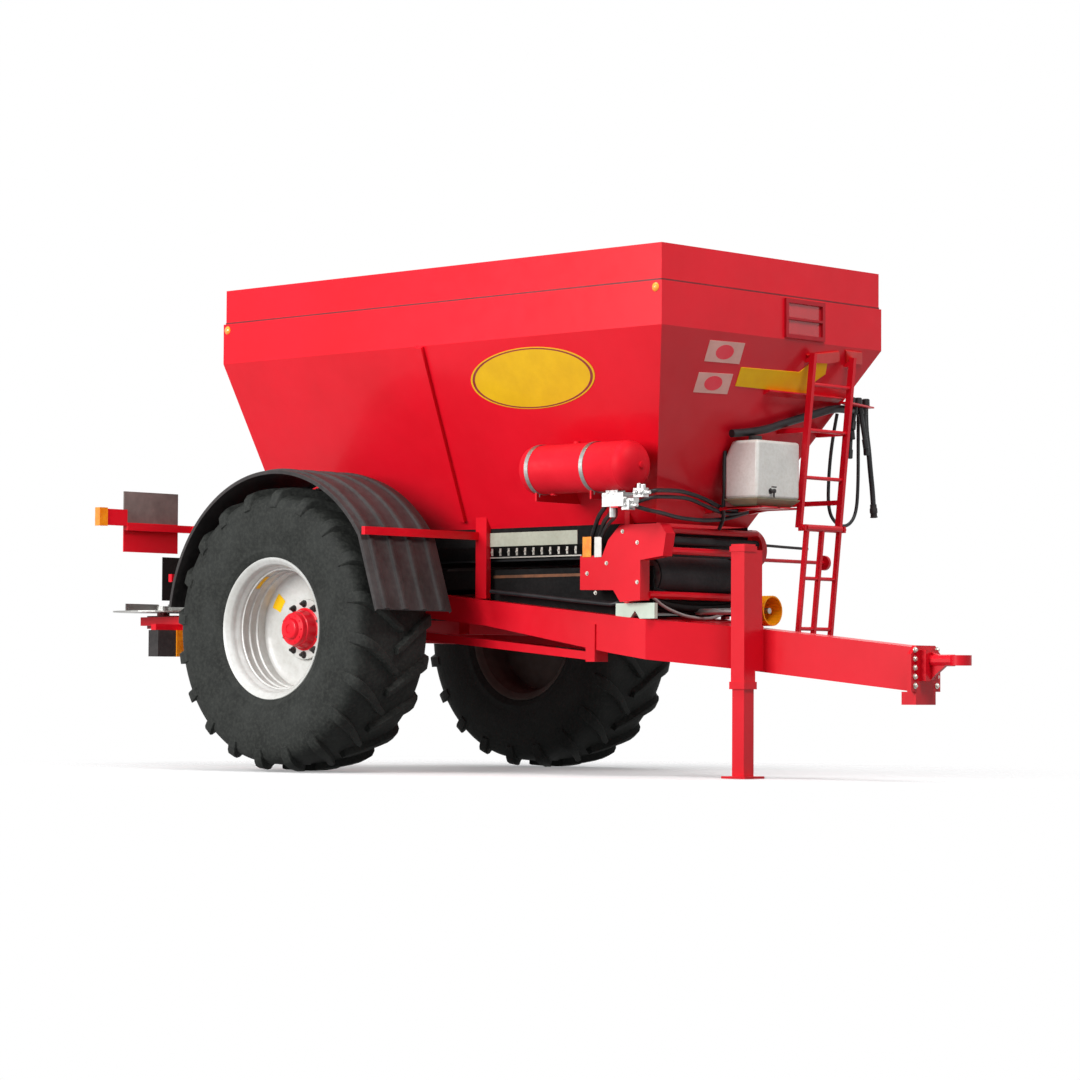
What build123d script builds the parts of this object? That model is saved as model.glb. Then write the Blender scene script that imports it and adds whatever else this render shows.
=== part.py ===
from build123d import *
import math
import os

os.makedirs("parts", exist_ok=True)

# A trailed fertilizer spreader, in millimetres: +X is the towing direction, +Y the left side, +Z up.
# The floor is at z = 0. Lengths called front, rear or reach are measured from the axle along X.

# Overall sizes
TYRE_DIAMETER = 1810
TYRE_WIDTH = 650
TRACK = 2300
FRONT_REACH = 4393
REAR_REACH = 2590

# Wheels
LUG_COUNT = 20
LUG_HEIGHT = 45
LUG_WIDTH = 62
BEAD_RADIUS = 425
BEAD_HALF_WIDTH = 262
RIM_FLANGE_RADIUS = 448
RIM_BARREL_RADIUS = 395
RIM_WALL = 10
RIM_LIP = 14
RIM_DISC_OFFSET = 40
RIM_DISC_THICKNESS = 16
RIM_BORE_RADIUS = 140
HUB_RADIUS = 105
HUB_FLANGE_RADIUS = 190
HUB_FLANGE_THICKNESS = 24
HUB_CAP_RADIUS = 62
HUB_REACH = 120
SPINDLE_RADIUS = 50
SPINDLE_FIT = 0.05
TYRE_SIDES = 40
RIM_SIDES = 36
HUB_SIDES = 24

# Hopper
HOPPER_FRONT = 2946
HOPPER_REAR = -900
HOPPER_HALF_WIDTH = 1047
HOPPER_TOP = 3149
HOPPER_JOINT = 2926
HOPPER_BEND = 2664
HOPPER_BOTTOM = 1545
HOPPER_BOTTOM_HALF_WIDTH = 435
HOPPER_BOTTOM_FRONT = 2369
HOPPER_BOTTOM_REAR = -900
HOPPER_WALL = 6
EXTENSION_STEP = 12
RIM_FOLD = 45
RIM_FOLD_THICKNESS = 8
RIB_WIDTH = 60
RIB_DEPTH = 25
RIB_TOP_X = 940
RIB_BOTTOM_X = 760
RIDGE_HALF_WIDTH = 150
RIDGE_HEIGHT = 190
RIDGE_FOOT = 1760
RIDGE_WALL = 5

# Chassis
FRAME_SLOPE = 0.10
FRAME_TOP_AT_AXLE = 1190
FRAME_HALF_WIDTH = 450
BEAM_WIDTH = 110
BEAM_DEPTH = 230
BEAM_REAR = -1650
BEAM_KNEE = 2300
BEAM_FRONT = 2760
DRAWBAR_START = 2650
DRAWBAR_ROOT = BEAM_KNEE
DRAWBAR_END = 4050
DRAWBAR_HALF_WIDTH = 95
DRAWBAR_DEPTH = 258
CROSS_MEMBER_LENGTH = 90
AXLE_SIZE = 150
EYE_HEIGHT = 707
EYE_BORE_RADIUS = 25.5
EYE_RADIUS = 62
EYE_THICKNESS = 60
EYE_SHANK_RADIUS = 34
EYE_WALL = 20
EYE_GUSSET = 24

GAP = 0.3
ROD_SIDES = 10
FLATNESS = 1e-6
AXLE_X = (REAR_REACH - FRONT_REACH) / 2
AXLE_HEIGHT = TYRE_DIAMETER / 2


def at(x, y, z):
    """A point whose x is measured from the axle."""
    return Vector(AXLE_X + x, y, z)


def side_plane(y):
    """An upright plane along the machine at y: its sketches take x from the axle and z."""
    return Plane(origin=at(0, y, 0), x_dir=(1, 0, 0), z_dir=(0, -1, 0))


def cross_plane(x):
    """An upright plane across the machine at x from the axle: its sketches take y and z."""
    return Plane(origin=at(x, 0, 0), x_dir=(0, 1, 0), z_dir=(1, 0, 0))


def level_plane(z):
    """A level plane at height z: its sketches take x from the axle and y."""
    return Plane(origin=at(0, 0, z), z_dir=(0, 0, 1))


def plate(plane, points, thickness, mode=Mode.ADD):
    """A flat piece of the given outline, on both sides of its plane."""
    with BuildSketch(plane) as outline:
        with BuildLine():
            Polyline(*points, close=True)
        make_face()
    extrude(outline.sketch, amount=thickness / 2, both=True, mode=mode)


def rod(start, end, radius, sides=ROD_SIDES, mode=Mode.ADD):
    """A many-sided bar from one point to another, for pieces that nothing turns on."""
    path = end - start
    with BuildSketch(Plane(origin=start, z_dir=path)) as section:
        RegularPolygon(radius, sides)
    extrude(section.sketch, amount=path.length, mode=mode)


def shaft(start, end, radius, mode=Mode.ADD):
    """A truly round bar or hole from one point to another, for pieces that turn."""
    path = end - start
    with BuildSketch(Plane(origin=start, z_dir=path)) as section:
        Circle(radius)
    extrude(section.sketch, amount=path.length, mode=mode)


def skin(rings, mode=Mode.ADD):
    """A solid of flat faces over rings of corners, each ring with as many, closed at both ends."""
    faces = [Face(Wire.make_polygon(rings[0])), Face(Wire.make_polygon(rings[-1]))]
    for low, high in zip(rings, rings[1:]):
        for place in range(len(low)):
            after = (place + 1) % len(low)
            a, b, c, d = low[place], low[after], high[after], high[place]
            flat = abs((b - a).normalized().cross((c - a).normalized()).dot((d - a).normalized())) < FLATNESS
            for corners in ([a, b, c, d],) if flat else ([a, b, c], [a, c, d]):
                faces.append(Face(Wire.make_polygon(corners)))
    add(Solid(Shell(faces)), mode=mode)


def turned(centre, along, stations, sides, mode=Mode.ADD):
    """A many-sided piece whose stations are pairs of distance along its line and radius."""
    plane = Plane(origin=centre, z_dir=along)
    turns = [2 * math.pi * count / sides for count in range(sides)]
    rings = []
    for distance, radius in stations:
        ring = [(radius * math.cos(turn), radius * math.sin(turn), distance) for turn in turns]
        rings.append([plane.from_local_coords(Vector(*corner)) for corner in ring])
    skin(rings, mode)


def block(low, high, mode=Mode.ADD):
    """A square-edged block between two corners, with x measured from the axle."""
    centre = (low + high) / 2
    size = high - low
    with BuildSketch(Plane(origin=(centre.X, centre.Y, low.Z))) as section:
        Rectangle(size.X, size.Y)
    extrude(section.sketch, amount=size.Z, mode=mode)


def bar(start, end, width, depth, mode=Mode.ADD):
    """A rectangular bar from one point to another, its width level and its depth upright."""
    path = end - start
    level = Vector(0, 0, 1).cross(path)
    if level.length == 0:
        level = Vector(0, 1, 0)
    with BuildSketch(Plane(origin=start, x_dir=level, z_dir=path)) as section:
        Rectangle(width, depth)
    extrude(section.sketch, amount=path.length, mode=mode)


def keep(name, made):
    """Labels a finished piece and writes its file."""
    made.part.label = name
    export_step(made.part, f"parts/{name}.step")


def beam_top(x):
    """The height of the frame's top at x from the axle: level behind it, sloping down in front of it."""
    return FRAME_TOP_AT_AXLE - FRAME_SLOPE * max(x, 0)


# Wheels: each is a tyre, a deep dished rim and a hub that turns on the axle's spindle
LUG_SHOULDER = TYRE_WIDTH / 2
TREAD_RADIUS = TYRE_DIAMETER / 2 - LUG_HEIGHT
WALL_RADIUS = TREAD_RADIUS - LUG_HEIGHT
BEAD_EDGE = BEAD_HALF_WIDTH - (RIM_FLANGE_RADIUS - BEAD_RADIUS) / 2
half_tyre = TYRE_DIAMETER / 2
# Carcass: distance from the wheel's middle, radius
CARCASS = [
    (BEAD_EDGE, BEAD_RADIUS + RIM_LIP),
    (LUG_SHOULDER, TREAD_RADIUS * 0.75),
    (LUG_SHOULDER * 0.98, WALL_RADIUS),
    (LUG_SHOULDER * 0.8, TREAD_RADIUS),
]
# Lug: distance across the tyre, distance round it, top radius, half width, radius of its foot
LUG_SECTIONS = [
    (-LUG_WIDTH / 4, 0, half_tyre, LUG_WIDTH * 0.35, TREAD_RADIUS - LUG_HEIGHT / 2),
    (LUG_SHOULDER * 0.45, -LUG_SHOULDER * 0.34, half_tyre, LUG_WIDTH * 0.45, TREAD_RADIUS - LUG_HEIGHT / 2),
    (LUG_SHOULDER * 0.88, -LUG_SHOULDER * 0.58, half_tyre - LUG_HEIGHT / 2, LUG_WIDTH * 0.55, WALL_RADIUS - LUG_HEIGHT / 2),
    (LUG_SHOULDER, -LUG_SHOULDER * 0.62, WALL_RADIUS - LUG_HEIGHT / 4, LUG_WIDTH * 0.45, WALL_RADIUS - 2 * LUG_HEIGHT),
]
for side, sign in (("left", 1), ("right", -1)):
    centre = at(0, sign * TRACK / 2, AXLE_HEIGHT)
    outward = Vector(0, sign, 0)
    axle_line = Axis(centre, (0, 1, 0))

    lugs = []
    for half in (1, -1):
        rings = []
        for across, around, top, wide, foot in LUG_SECTIONS:
            ring = []
            for edge, radius in ((-wide, foot), (-wide, top), (wide, top), (wide, foot)):
                angle = (around + edge) / TREAD_RADIUS
                place = Vector(radius * math.sin(angle), half * across, radius * math.cos(angle))
                ring.append(centre + place)
            rings.append(ring)
        with BuildPart() as lug:
            skin(rings)
        for turn in range(LUG_COUNT):
            angle = (turn + (half + 1) / 4) * 360 / LUG_COUNT
            lugs.append(lug.part.rotate(axle_line, angle))

    with BuildPart() as tyre:
        stations = [(-distance, radius) for distance, radius in CARCASS]
        turned(centre, outward, stations + CARCASS[::-1], TYRE_SIDES)
        add(lugs)
        foot = BEAD_RADIUS + GAP
        turned(centre, outward, [(-TYRE_WIDTH, foot), (TYRE_WIDTH, foot)], RIM_SIDES, mode=Mode.SUBTRACT)
    keep(f"tyre_{side}", tyre)

    lip_edge = BEAD_HALF_WIDTH + RIM_LIP
    dish_edge = BEAD_HALF_WIDTH - RIM_LIP
    disc_back = -RIM_DISC_OFFSET - RIM_DISC_THICKNESS
    mouth = RIM_FLANGE_RADIUS - RIM_WALL / 2
    with BuildPart() as rim:
        for low, high, radius in (
            (-lip_edge, -BEAD_HALF_WIDTH, RIM_FLANGE_RADIUS),
            (-BEAD_HALF_WIDTH, BEAD_HALF_WIDTH, BEAD_RADIUS),
            (BEAD_HALF_WIDTH, lip_edge, RIM_FLANGE_RADIUS),
        ):
            turned(centre, outward, [(low, radius), (high, radius)], RIM_SIDES)
        front_dish = [(-RIM_DISC_OFFSET, RIM_BARREL_RADIUS), (dish_edge, RIM_BARREL_RADIUS), (lip_edge, mouth)]
        turned(centre, outward, front_dish, RIM_SIDES, mode=Mode.SUBTRACT)
        back_dish = [(-lip_edge, mouth), (-dish_edge, RIM_BARREL_RADIUS), (disc_back, RIM_BARREL_RADIUS)]
        turned(centre, outward, back_dish, RIM_SIDES, mode=Mode.SUBTRACT)
        bore = [(disc_back - RIM_WALL, RIM_BORE_RADIUS), (RIM_WALL - RIM_DISC_OFFSET, RIM_BORE_RADIUS)]
        turned(centre, outward, bore, HUB_SIDES, mode=Mode.SUBTRACT)
    keep(f"rim_{side}", rim)

    flange_top = HUB_FLANGE_THICKNESS - RIM_DISC_OFFSET
    with BuildPart() as hub:
        turned(centre, outward, [(-HUB_REACH, HUB_RADIUS), (-RIM_DISC_OFFSET, HUB_RADIUS)], HUB_SIDES)
        turned(centre, outward, [(-RIM_DISC_OFFSET, HUB_FLANGE_RADIUS), (flange_top, HUB_FLANGE_RADIUS)], HUB_SIDES)
        cap = [(flange_top, HUB_RADIUS), (HUB_REACH * 0.75, HUB_RADIUS), (HUB_REACH, HUB_CAP_RADIUS)]
        turned(centre, outward, cap, HUB_SIDES)
        bore_end = outward * (HUB_REACH / 2)
        shaft(centre - outward * (2 * HUB_REACH), centre + bore_end, SPINDLE_RADIUS + SPINDLE_FIT, mode=Mode.SUBTRACT)
    keep(f"hub_{side}", hub)

# Axle: a square beam with a round spindle at each end and a seat under each frame beam
AXLE_HALF_LENGTH = TRACK / 2 - HUB_REACH - 10
BEAM_REAR_DEPTH = 160
half_axle = AXLE_SIZE / 2
with BuildPart() as axle:
    block(
        at(-half_axle, -AXLE_HALF_LENGTH, AXLE_HEIGHT - half_axle),
        at(half_axle, AXLE_HALF_LENGTH, AXLE_HEIGHT + half_axle),
    )
    spindle_end = TRACK / 2 + HUB_REACH / 2 - 5
    shaft(at(0, -spindle_end, AXLE_HEIGHT), at(0, spindle_end, AXLE_HEIGHT), SPINDLE_RADIUS)
    for sign in (1, -1):
        seat_top = beam_top(half_axle) - BEAM_REAR_DEPTH
        block(
            at(-half_axle, sign * FRAME_HALF_WIDTH - BEAM_WIDTH / 2, AXLE_HEIGHT),
            at(half_axle, sign * FRAME_HALF_WIDTH + BEAM_WIDTH / 2, seat_top),
        )
keep("axle", axle)

# Frame: two beams that slope down to the front and run in to the drawbar
frame_side = [
    (0, beam_top(0)),
    (BEAM_REAR, beam_top(BEAM_REAR)),
    (BEAM_REAR, beam_top(BEAM_REAR) - BEAM_REAR_DEPTH),
    (0, beam_top(0) - BEAM_REAR_DEPTH),
    (1000, beam_top(1000) - BEAM_REAR_DEPTH),
    (2050, beam_top(2050) - BEAM_DEPTH),
    (BEAM_FRONT, beam_top(BEAM_FRONT) - DRAWBAR_DEPTH),
    (BEAM_FRONT, beam_top(BEAM_FRONT)),
]
for side, sign in (("left", 1), ("right", -1)):
    inner = sign * (FRAME_HALF_WIDTH - BEAM_WIDTH / 2)
    outer = sign * (FRAME_HALF_WIDTH + BEAM_WIDTH / 2)
    beam_plan = [
        (BEAM_REAR, inner),
        (BEAM_KNEE, inner),
        (DRAWBAR_START, sign * DRAWBAR_HALF_WIDTH),
        (BEAM_FRONT, sign * DRAWBAR_HALF_WIDTH),
        (BEAM_FRONT, sign * (DRAWBAR_HALF_WIDTH + 30)),
        (BEAM_KNEE + 50, outer),
        (BEAM_REAR, outer),
    ]
    with BuildPart() as beam:
        plate(level_plane(AXLE_HEIGHT), beam_plan, 4 * BEAM_DEPTH)
        plate(side_plane(0), frame_side, 4 * FRAME_HALF_WIDTH, mode=Mode.INTERSECT)
    keep(f"beam_{side}", beam)

# Cross members: place from the axle, height of the top, depth; the drive shaft runs over or under them
CROSS_MEMBERS = [
    (-1560, 1090, 48),
    (-560, 1090, 48),
    (660, 980, 100),
    (1660, 970, 140),
    (DRAWBAR_ROOT - CROSS_MEMBER_LENGTH, 960, 180),
]
beam_inside = FRAME_HALF_WIDTH - BEAM_WIDTH / 2
with BuildPart() as cross_members:
    for x, top, depth in CROSS_MEMBERS:
        block(at(x, -beam_inside, top - depth), at(x + CROSS_MEMBER_LENGTH, beam_inside, top))
keep("cross_members", cross_members)

with BuildPart() as drawbar:
    plate(
        side_plane(0),
        [
            (DRAWBAR_ROOT, beam_top(DRAWBAR_ROOT)),
            (DRAWBAR_END, beam_top(DRAWBAR_END)),
            (DRAWBAR_END, beam_top(DRAWBAR_END) - DRAWBAR_DEPTH),
            (DRAWBAR_ROOT, beam_top(DRAWBAR_ROOT) - DRAWBAR_DEPTH),
        ],
        2 * DRAWBAR_HALF_WIDTH,
    )
keep("drawbar", drawbar)

# Hitch: a bolted flange on the drawbar's end, a lower socket and the towing eye with its gusset
HEAD_FLANGE = 30
HEAD_HALF_WIDTH = 140
HEAD_BOTTOM = 525
HEAD_TOP = 794
HEAD_CHAMFER = 50
SOCKET_BOTTOM = 449
SOCKET_REAR = 3975
SOCKET_HALF_WIDTH = 95
BOSS_DEPTH = 45
BOSS_HALF_WIDTH = 62
head_front = DRAWBAR_END + HEAD_FLANGE
boss_front = head_front + BOSS_DEPTH
with BuildPart() as hitch_head:
    plate(
        cross_plane(DRAWBAR_END + HEAD_FLANGE / 2),
        [
            (-HEAD_HALF_WIDTH, HEAD_BOTTOM),
            (HEAD_HALF_WIDTH, HEAD_BOTTOM),
            (HEAD_HALF_WIDTH, HEAD_TOP - HEAD_CHAMFER),
            (HEAD_HALF_WIDTH - HEAD_CHAMFER, HEAD_TOP),
            (HEAD_CHAMFER - HEAD_HALF_WIDTH, HEAD_TOP),
            (-HEAD_HALF_WIDTH, HEAD_TOP - HEAD_CHAMFER),
        ],
        HEAD_FLANGE,
    )
    block(at(SOCKET_REAR, -SOCKET_HALF_WIDTH, SOCKET_BOTTOM), at(head_front, SOCKET_HALF_WIDTH, HEAD_BOTTOM))
    block(
        at(head_front, -BOSS_HALF_WIDTH, EYE_HEIGHT - 2 * EYE_THICKNESS),
        at(boss_front, BOSS_HALF_WIDTH, EYE_HEIGHT + EYE_THICKNESS),
    )
keep("hitch_head", hitch_head)

eye_x = FRONT_REACH - EYE_RADIUS
shank_end = eye_x - EYE_BORE_RADIUS - EYE_WALL
with BuildPart() as towing_eye:
    eye_low = EYE_HEIGHT - EYE_THICKNESS / 2
    shaft(at(eye_x, 0, eye_low), at(eye_x, 0, eye_low + EYE_THICKNESS), EYE_RADIUS)
    rod(at(boss_front, 0, EYE_HEIGHT), at(shank_end, 0, EYE_HEIGHT), EYE_SHANK_RADIUS)
    plate(
        side_plane(0),
        [
            (boss_front, EYE_HEIGHT + EYE_THICKNESS * 0.8),
            (boss_front + 60, EYE_HEIGHT + EYE_THICKNESS / 2),
            (eye_x - EYE_RADIUS, EYE_HEIGHT),
            (boss_front + 30, EYE_HEIGHT - 1.4 * EYE_THICKNESS),
            (boss_front, EYE_HEIGHT - 1.9 * EYE_THICKNESS),
        ],
        EYE_GUSSET,
    )
    bore_low = EYE_HEIGHT - EYE_THICKNESS
    bore_high = EYE_HEIGHT + EYE_THICKNESS
    shaft(at(eye_x, 0, bore_low), at(eye_x, 0, bore_high), EYE_BORE_RADIUS, mode=Mode.SUBTRACT)
keep("towing_eye", towing_eye)

# Jack: an outer tube on a mounting box at the drawbar's right side, with a square leg that slides down
JACK_X = 2885
JACK_Y = -225
JACK_TOP = 1406
JACK_TUBE_BOTTOM = 535
JACK_TUBE = 104
JACK_LEG = 92
JACK_COLLAR = 118
JACK_COLLAR_HEIGHT = 45
JACK_CLEARANCE = 0.5
JACK_CAP = 12
JACK_FOOT = 184
JACK_FOOT_THICKNESS = 14
JACK_TRAVEL = 420
JACK_BOX_WIDTH = 100
JACK_BOX_LOW = 645
JACK_BOX_HIGH = 1372
with BuildPart() as jack_tube:
    tube_steps = (
        (JACK_TUBE_BOTTOM, JACK_TOP - JACK_CAP, JACK_TUBE),
        (JACK_TUBE_BOTTOM, JACK_TUBE_BOTTOM + JACK_COLLAR_HEIGHT, JACK_COLLAR),
        (JACK_TOP - JACK_COLLAR_HEIGHT, JACK_TOP - JACK_CAP, JACK_COLLAR),
    )
    for low, high, width in tube_steps:
        with BuildSketch(Plane(origin=at(JACK_X, JACK_Y, low))) as section:
            Rectangle(width, width)
            Rectangle(JACK_LEG + 2 * JACK_CLEARANCE, JACK_LEG + 2 * JACK_CLEARANCE, mode=Mode.SUBTRACT)
        extrude(section.sketch, amount=high - low)
    block(
        at(JACK_X - JACK_TUBE / 2, JACK_Y - JACK_TUBE / 2, JACK_TOP - JACK_CAP),
        at(JACK_X + JACK_TUBE / 2, JACK_Y + JACK_TUBE / 2, JACK_TOP),
    )
    box_right = JACK_Y + JACK_TUBE / 2
    box_step = beam_top(JACK_X - JACK_BOX_WIDTH / 2) + JACK_CAP
    block(
        at(JACK_X - JACK_BOX_WIDTH / 2, box_right, JACK_BOX_LOW),
        at(JACK_X + JACK_BOX_WIDTH / 2, -DRAWBAR_HALF_WIDTH, box_step),
    )
    block(
        at(JACK_X - JACK_BOX_WIDTH / 2, box_right, box_step),
        at(JACK_X + JACK_BOX_WIDTH / 2, -DRAWBAR_HALF_WIDTH - JACK_CAP, JACK_BOX_HIGH),
    )
keep("jack_tube", jack_tube)

with BuildPart() as jack_leg:
    for low, high, width in (
        (0, JACK_FOOT_THICKNESS, JACK_FOOT),
        (JACK_FOOT_THICKNESS, JACK_TOP - JACK_TRAVEL - 5 * JACK_CAP, JACK_LEG),
    ):
        block(
            at(JACK_X - width / 2, JACK_Y - width / 2, low),
            at(JACK_X + width / 2, JACK_Y + width / 2, high),
        )
keep("jack_leg", jack_leg)

# Hopper: a sheet steel body whose sides and front slope in to the belt, under an upright extension
WINDOW_LOW = 2700
WINDOW_HIGH = 2890
WINDOW_RIGHT = 110
WINDOW_LEFT = 440
LIP_MIDDLE = 455
LIP_LENGTH = 730
LIP_LOW = 2332
LIP_HIGH = 2362
LIP_REACH = 36
front_slope = (HOPPER_FRONT - HOPPER_BOTTOM_FRONT) / (HOPPER_BEND - HOPPER_BOTTOM)
side_slope = (HOPPER_HALF_WIDTH - HOPPER_BOTTOM_HALF_WIDTH) / (HOPPER_BEND - HOPPER_BOTTOM)
with BuildPart() as hopper_body:
    plate(
        side_plane(0),
        [
            (HOPPER_BOTTOM_REAR, HOPPER_BOTTOM),
            (HOPPER_BOTTOM_FRONT, HOPPER_BOTTOM),
            (HOPPER_FRONT, HOPPER_BEND),
            (HOPPER_FRONT, HOPPER_JOINT),
            (HOPPER_REAR, HOPPER_JOINT),
            (HOPPER_REAR, HOPPER_BEND),
        ],
        4 * HOPPER_HALF_WIDTH,
    )
    with BuildSketch(cross_plane(0)) as front_view:
        with BuildLine():
            Polyline(
                (-HOPPER_BOTTOM_HALF_WIDTH, HOPPER_BOTTOM),
                (HOPPER_BOTTOM_HALF_WIDTH, HOPPER_BOTTOM),
                (HOPPER_HALF_WIDTH, HOPPER_BEND),
                (HOPPER_HALF_WIDTH, HOPPER_JOINT),
                (-HOPPER_HALF_WIDTH, HOPPER_JOINT),
                (-HOPPER_HALF_WIDTH, HOPPER_BEND),
                close=True,
            )
        make_face()
    extrude(amount=2 * HOPPER_FRONT, both=True, mode=Mode.INTERSECT)
    level_faces = faces().filter_by(Axis.Z)
    offset(amount=-HOPPER_WALL, openings=level_faces)
    for sign in (1, -1):
        outward = Vector(0, sign * 1, -side_slope).normalized() * (RIB_DEPTH / 2)
        foot_z = HOPPER_BOTTOM + RIB_WIDTH
        foot_y = sign * (HOPPER_BOTTOM_HALF_WIDTH + RIB_WIDTH * side_slope)
        start = at(RIB_TOP_X, sign * HOPPER_HALF_WIDTH, HOPPER_BEND) + outward
        end = at(RIB_BOTTOM_X, foot_y, foot_z) + outward
        path = end - start
        with BuildSketch(Plane(origin=start, x_dir=outward.cross(path), z_dir=path)) as rib_section:
            Rectangle(RIB_WIDTH, RIB_DEPTH)
        extrude(rib_section.sketch, amount=path.length)
    with BuildSketch(Plane(origin=at((HOPPER_FRONT + HOPPER_REAR) / 2, 0, HOPPER_JOINT))) as flange:
        Rectangle(HOPPER_FRONT - HOPPER_REAR, 2 * HOPPER_HALF_WIDTH)
        offset(amount=-RIM_FOLD - EXTENSION_STEP, mode=Mode.SUBTRACT)
    extrude(flange.sketch, amount=-RIM_FOLD_THICKNESS)
    plate(
        side_plane(LIP_MIDDLE),
        [
            (HOPPER_BOTTOM_FRONT + (LIP_LOW - HOPPER_BOTTOM) * front_slope, LIP_LOW),
            (HOPPER_BOTTOM_FRONT + (LIP_HIGH - HOPPER_BOTTOM) * front_slope, LIP_HIGH),
            (HOPPER_BOTTOM_FRONT + (LIP_HIGH - HOPPER_BOTTOM) * front_slope + LIP_REACH, LIP_HIGH),
            (HOPPER_BOTTOM_FRONT + (LIP_HIGH - HOPPER_BOTTOM) * front_slope + LIP_REACH, LIP_HIGH - RIM_FOLD_THICKNESS),
        ],
        LIP_LENGTH,
    )
    block(
        at(HOPPER_FRONT - 3 * HOPPER_WALL, WINDOW_RIGHT, WINDOW_LOW),
        at(HOPPER_FRONT + HOPPER_WALL, WINDOW_LEFT, WINDOW_HIGH),
        mode=Mode.SUBTRACT,
    )
keep("hopper_body", hopper_body)

with BuildPart() as hopper_extension:
    length = HOPPER_FRONT - HOPPER_REAR - 2 * EXTENSION_STEP
    width = 2 * (HOPPER_HALF_WIDTH - EXTENSION_STEP)
    middle = at((HOPPER_FRONT + HOPPER_REAR) / 2, 0, HOPPER_JOINT)
    # Rings from the bottom up: wall thickness, foot height, height
    rings = [
        (RIM_FOLD, HOPPER_JOINT, RIM_FOLD_THICKNESS),
        (HOPPER_WALL, HOPPER_JOINT, HOPPER_TOP - HOPPER_JOINT),
        (RIM_FOLD, HOPPER_TOP - RIM_FOLD_THICKNESS, RIM_FOLD_THICKNESS),
    ]
    for wall, foot, height in rings:
        with BuildSketch(Plane(origin=(middle.X, middle.Y, foot))):
            Rectangle(length, width)
            Rectangle(length - 2 * wall, width - 2 * wall, mode=Mode.SUBTRACT)
        extrude(amount=height)
keep("hopper_extension", hopper_extension)

with BuildPart() as window_frame:
    with BuildSketch(cross_plane(HOPPER_FRONT)):
        with Locations(((WINDOW_RIGHT + WINDOW_LEFT) / 2, (WINDOW_LOW + WINDOW_HIGH) / 2)):
            Rectangle(WINDOW_LEFT - WINDOW_RIGHT + 50, WINDOW_HIGH - WINDOW_LOW + 50)
            Rectangle(WINDOW_LEFT - WINDOW_RIGHT, WINDOW_HIGH - WINDOW_LOW, mode=Mode.SUBTRACT)
            Rectangle(WINDOW_LEFT - WINDOW_RIGHT, 14)
    extrude(amount=16)
keep("window_frame", window_frame)

with BuildPart() as window_pane:
    block(
        at(HOPPER_FRONT - HOPPER_WALL, WINDOW_RIGHT + GAP, WINDOW_LOW + GAP),
        at(HOPPER_FRONT, WINDOW_LEFT - GAP, WINDOW_HIGH - GAP),
    )
keep("window_pane", window_pane)

# Relief ridge: a folded roof over the belt that carries the load's weight
ridge_front = HOPPER_BOTTOM_FRONT + (RIDGE_FOOT - HOPPER_BOTTOM) * front_slope
with BuildPart() as relief_ridge:
    with BuildSketch(cross_plane(HOPPER_BOTTOM_REAR + HOPPER_WALL)):
        with BuildLine():
            Polyline(
                (-RIDGE_HALF_WIDTH, RIDGE_FOOT),
                (0, RIDGE_FOOT + RIDGE_HEIGHT),
                (RIDGE_HALF_WIDTH, RIDGE_FOOT),
                (RIDGE_HALF_WIDTH - 2 * RIDGE_WALL, RIDGE_FOOT),
                (0, RIDGE_FOOT + RIDGE_HEIGHT - 3 * RIDGE_WALL),
                (-RIDGE_HALF_WIDTH + 2 * RIDGE_WALL, RIDGE_FOOT),
                close=True,
            )
        make_face()
    extrude(amount=ridge_front - HOPPER_BOTTOM_REAR - 3 * HOPPER_WALL)
keep("relief_ridge", relief_ridge)

# Mudguards: a ribbed shell over each wheel, with a flat panel in front of it
GUARD_RADIUS = 980
GUARD_X = 50
GUARD_Z = 915
GUARD_HALF_WIDTH = 325
GUARD_SHEET = 8
GUARD_REAR_ANGLE = 172
GUARD_FRONT_ANGLE = 35
GUARD_FOOT_X = 1010
GUARD_FOOT_Z = 1010
GUARD_RIB_WIDTH = 46
GUARD_RIB_HEIGHT = 14
GUARD_RIB_COUNT = 4
GUARD_STAY_Z = 1500
GUARD_STEPS = 12


def guard_line(reach):
    """A mudguard's edge from front to rear at a distance from its sheet's underside, as x from the axle and z."""
    step = math.radians(GUARD_REAR_ANGLE - GUARD_FRONT_ANGLE) / GUARD_STEPS
    start = math.radians(GUARD_FRONT_ANGLE)
    radius = GUARD_RADIUS + reach
    angles = [start + step * count for count in range(GUARD_STEPS + 1)]
    lean = Vector(math.cos(start), math.sin(start)) * reach
    line = [(GUARD_FOOT_X + lean.X, GUARD_FOOT_Z + lean.Y)]
    return line + [(GUARD_X + radius * math.cos(angle), GUARD_Z + radius * math.sin(angle)) for angle in angles]


def guard_band(plane, low, high, width):
    """Part of a mudguard's shell, between two distances from its sheet's underside."""
    plate(plane, guard_line(high) + guard_line(low)[::-1], width)


def line_x(line, z, last=False):
    """Where a line of x and z pairs passes height z, at its first or last crossing."""
    found = []
    for (x0, z0), (x1, z1) in zip(line, line[1:]):
        if min(z0, z1) <= z <= max(z0, z1):
            found.append(x0 + (x1 - x0) * (z - z0) / (z1 - z0))
    return found[-1] if last else found[0]


for side, sign in (("left", 1), ("right", -1)):
    with BuildPart() as mudguard:
        guard_band(side_plane(sign * TRACK / 2), 0, GUARD_SHEET, 2 * GUARD_HALF_WIDTH)
        pitch = 2 * GUARD_HALF_WIDTH / GUARD_RIB_COUNT
        for rib in range(GUARD_RIB_COUNT):
            rib_y = TRACK / 2 - GUARD_HALF_WIDTH + (rib + 0.5) * pitch
            guard_band(side_plane(sign * rib_y), GUARD_SHEET, GUARD_SHEET + GUARD_RIB_HEIGHT, GUARD_RIB_WIDTH)
    keep(f"mudguard_{side}", mudguard)

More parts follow.
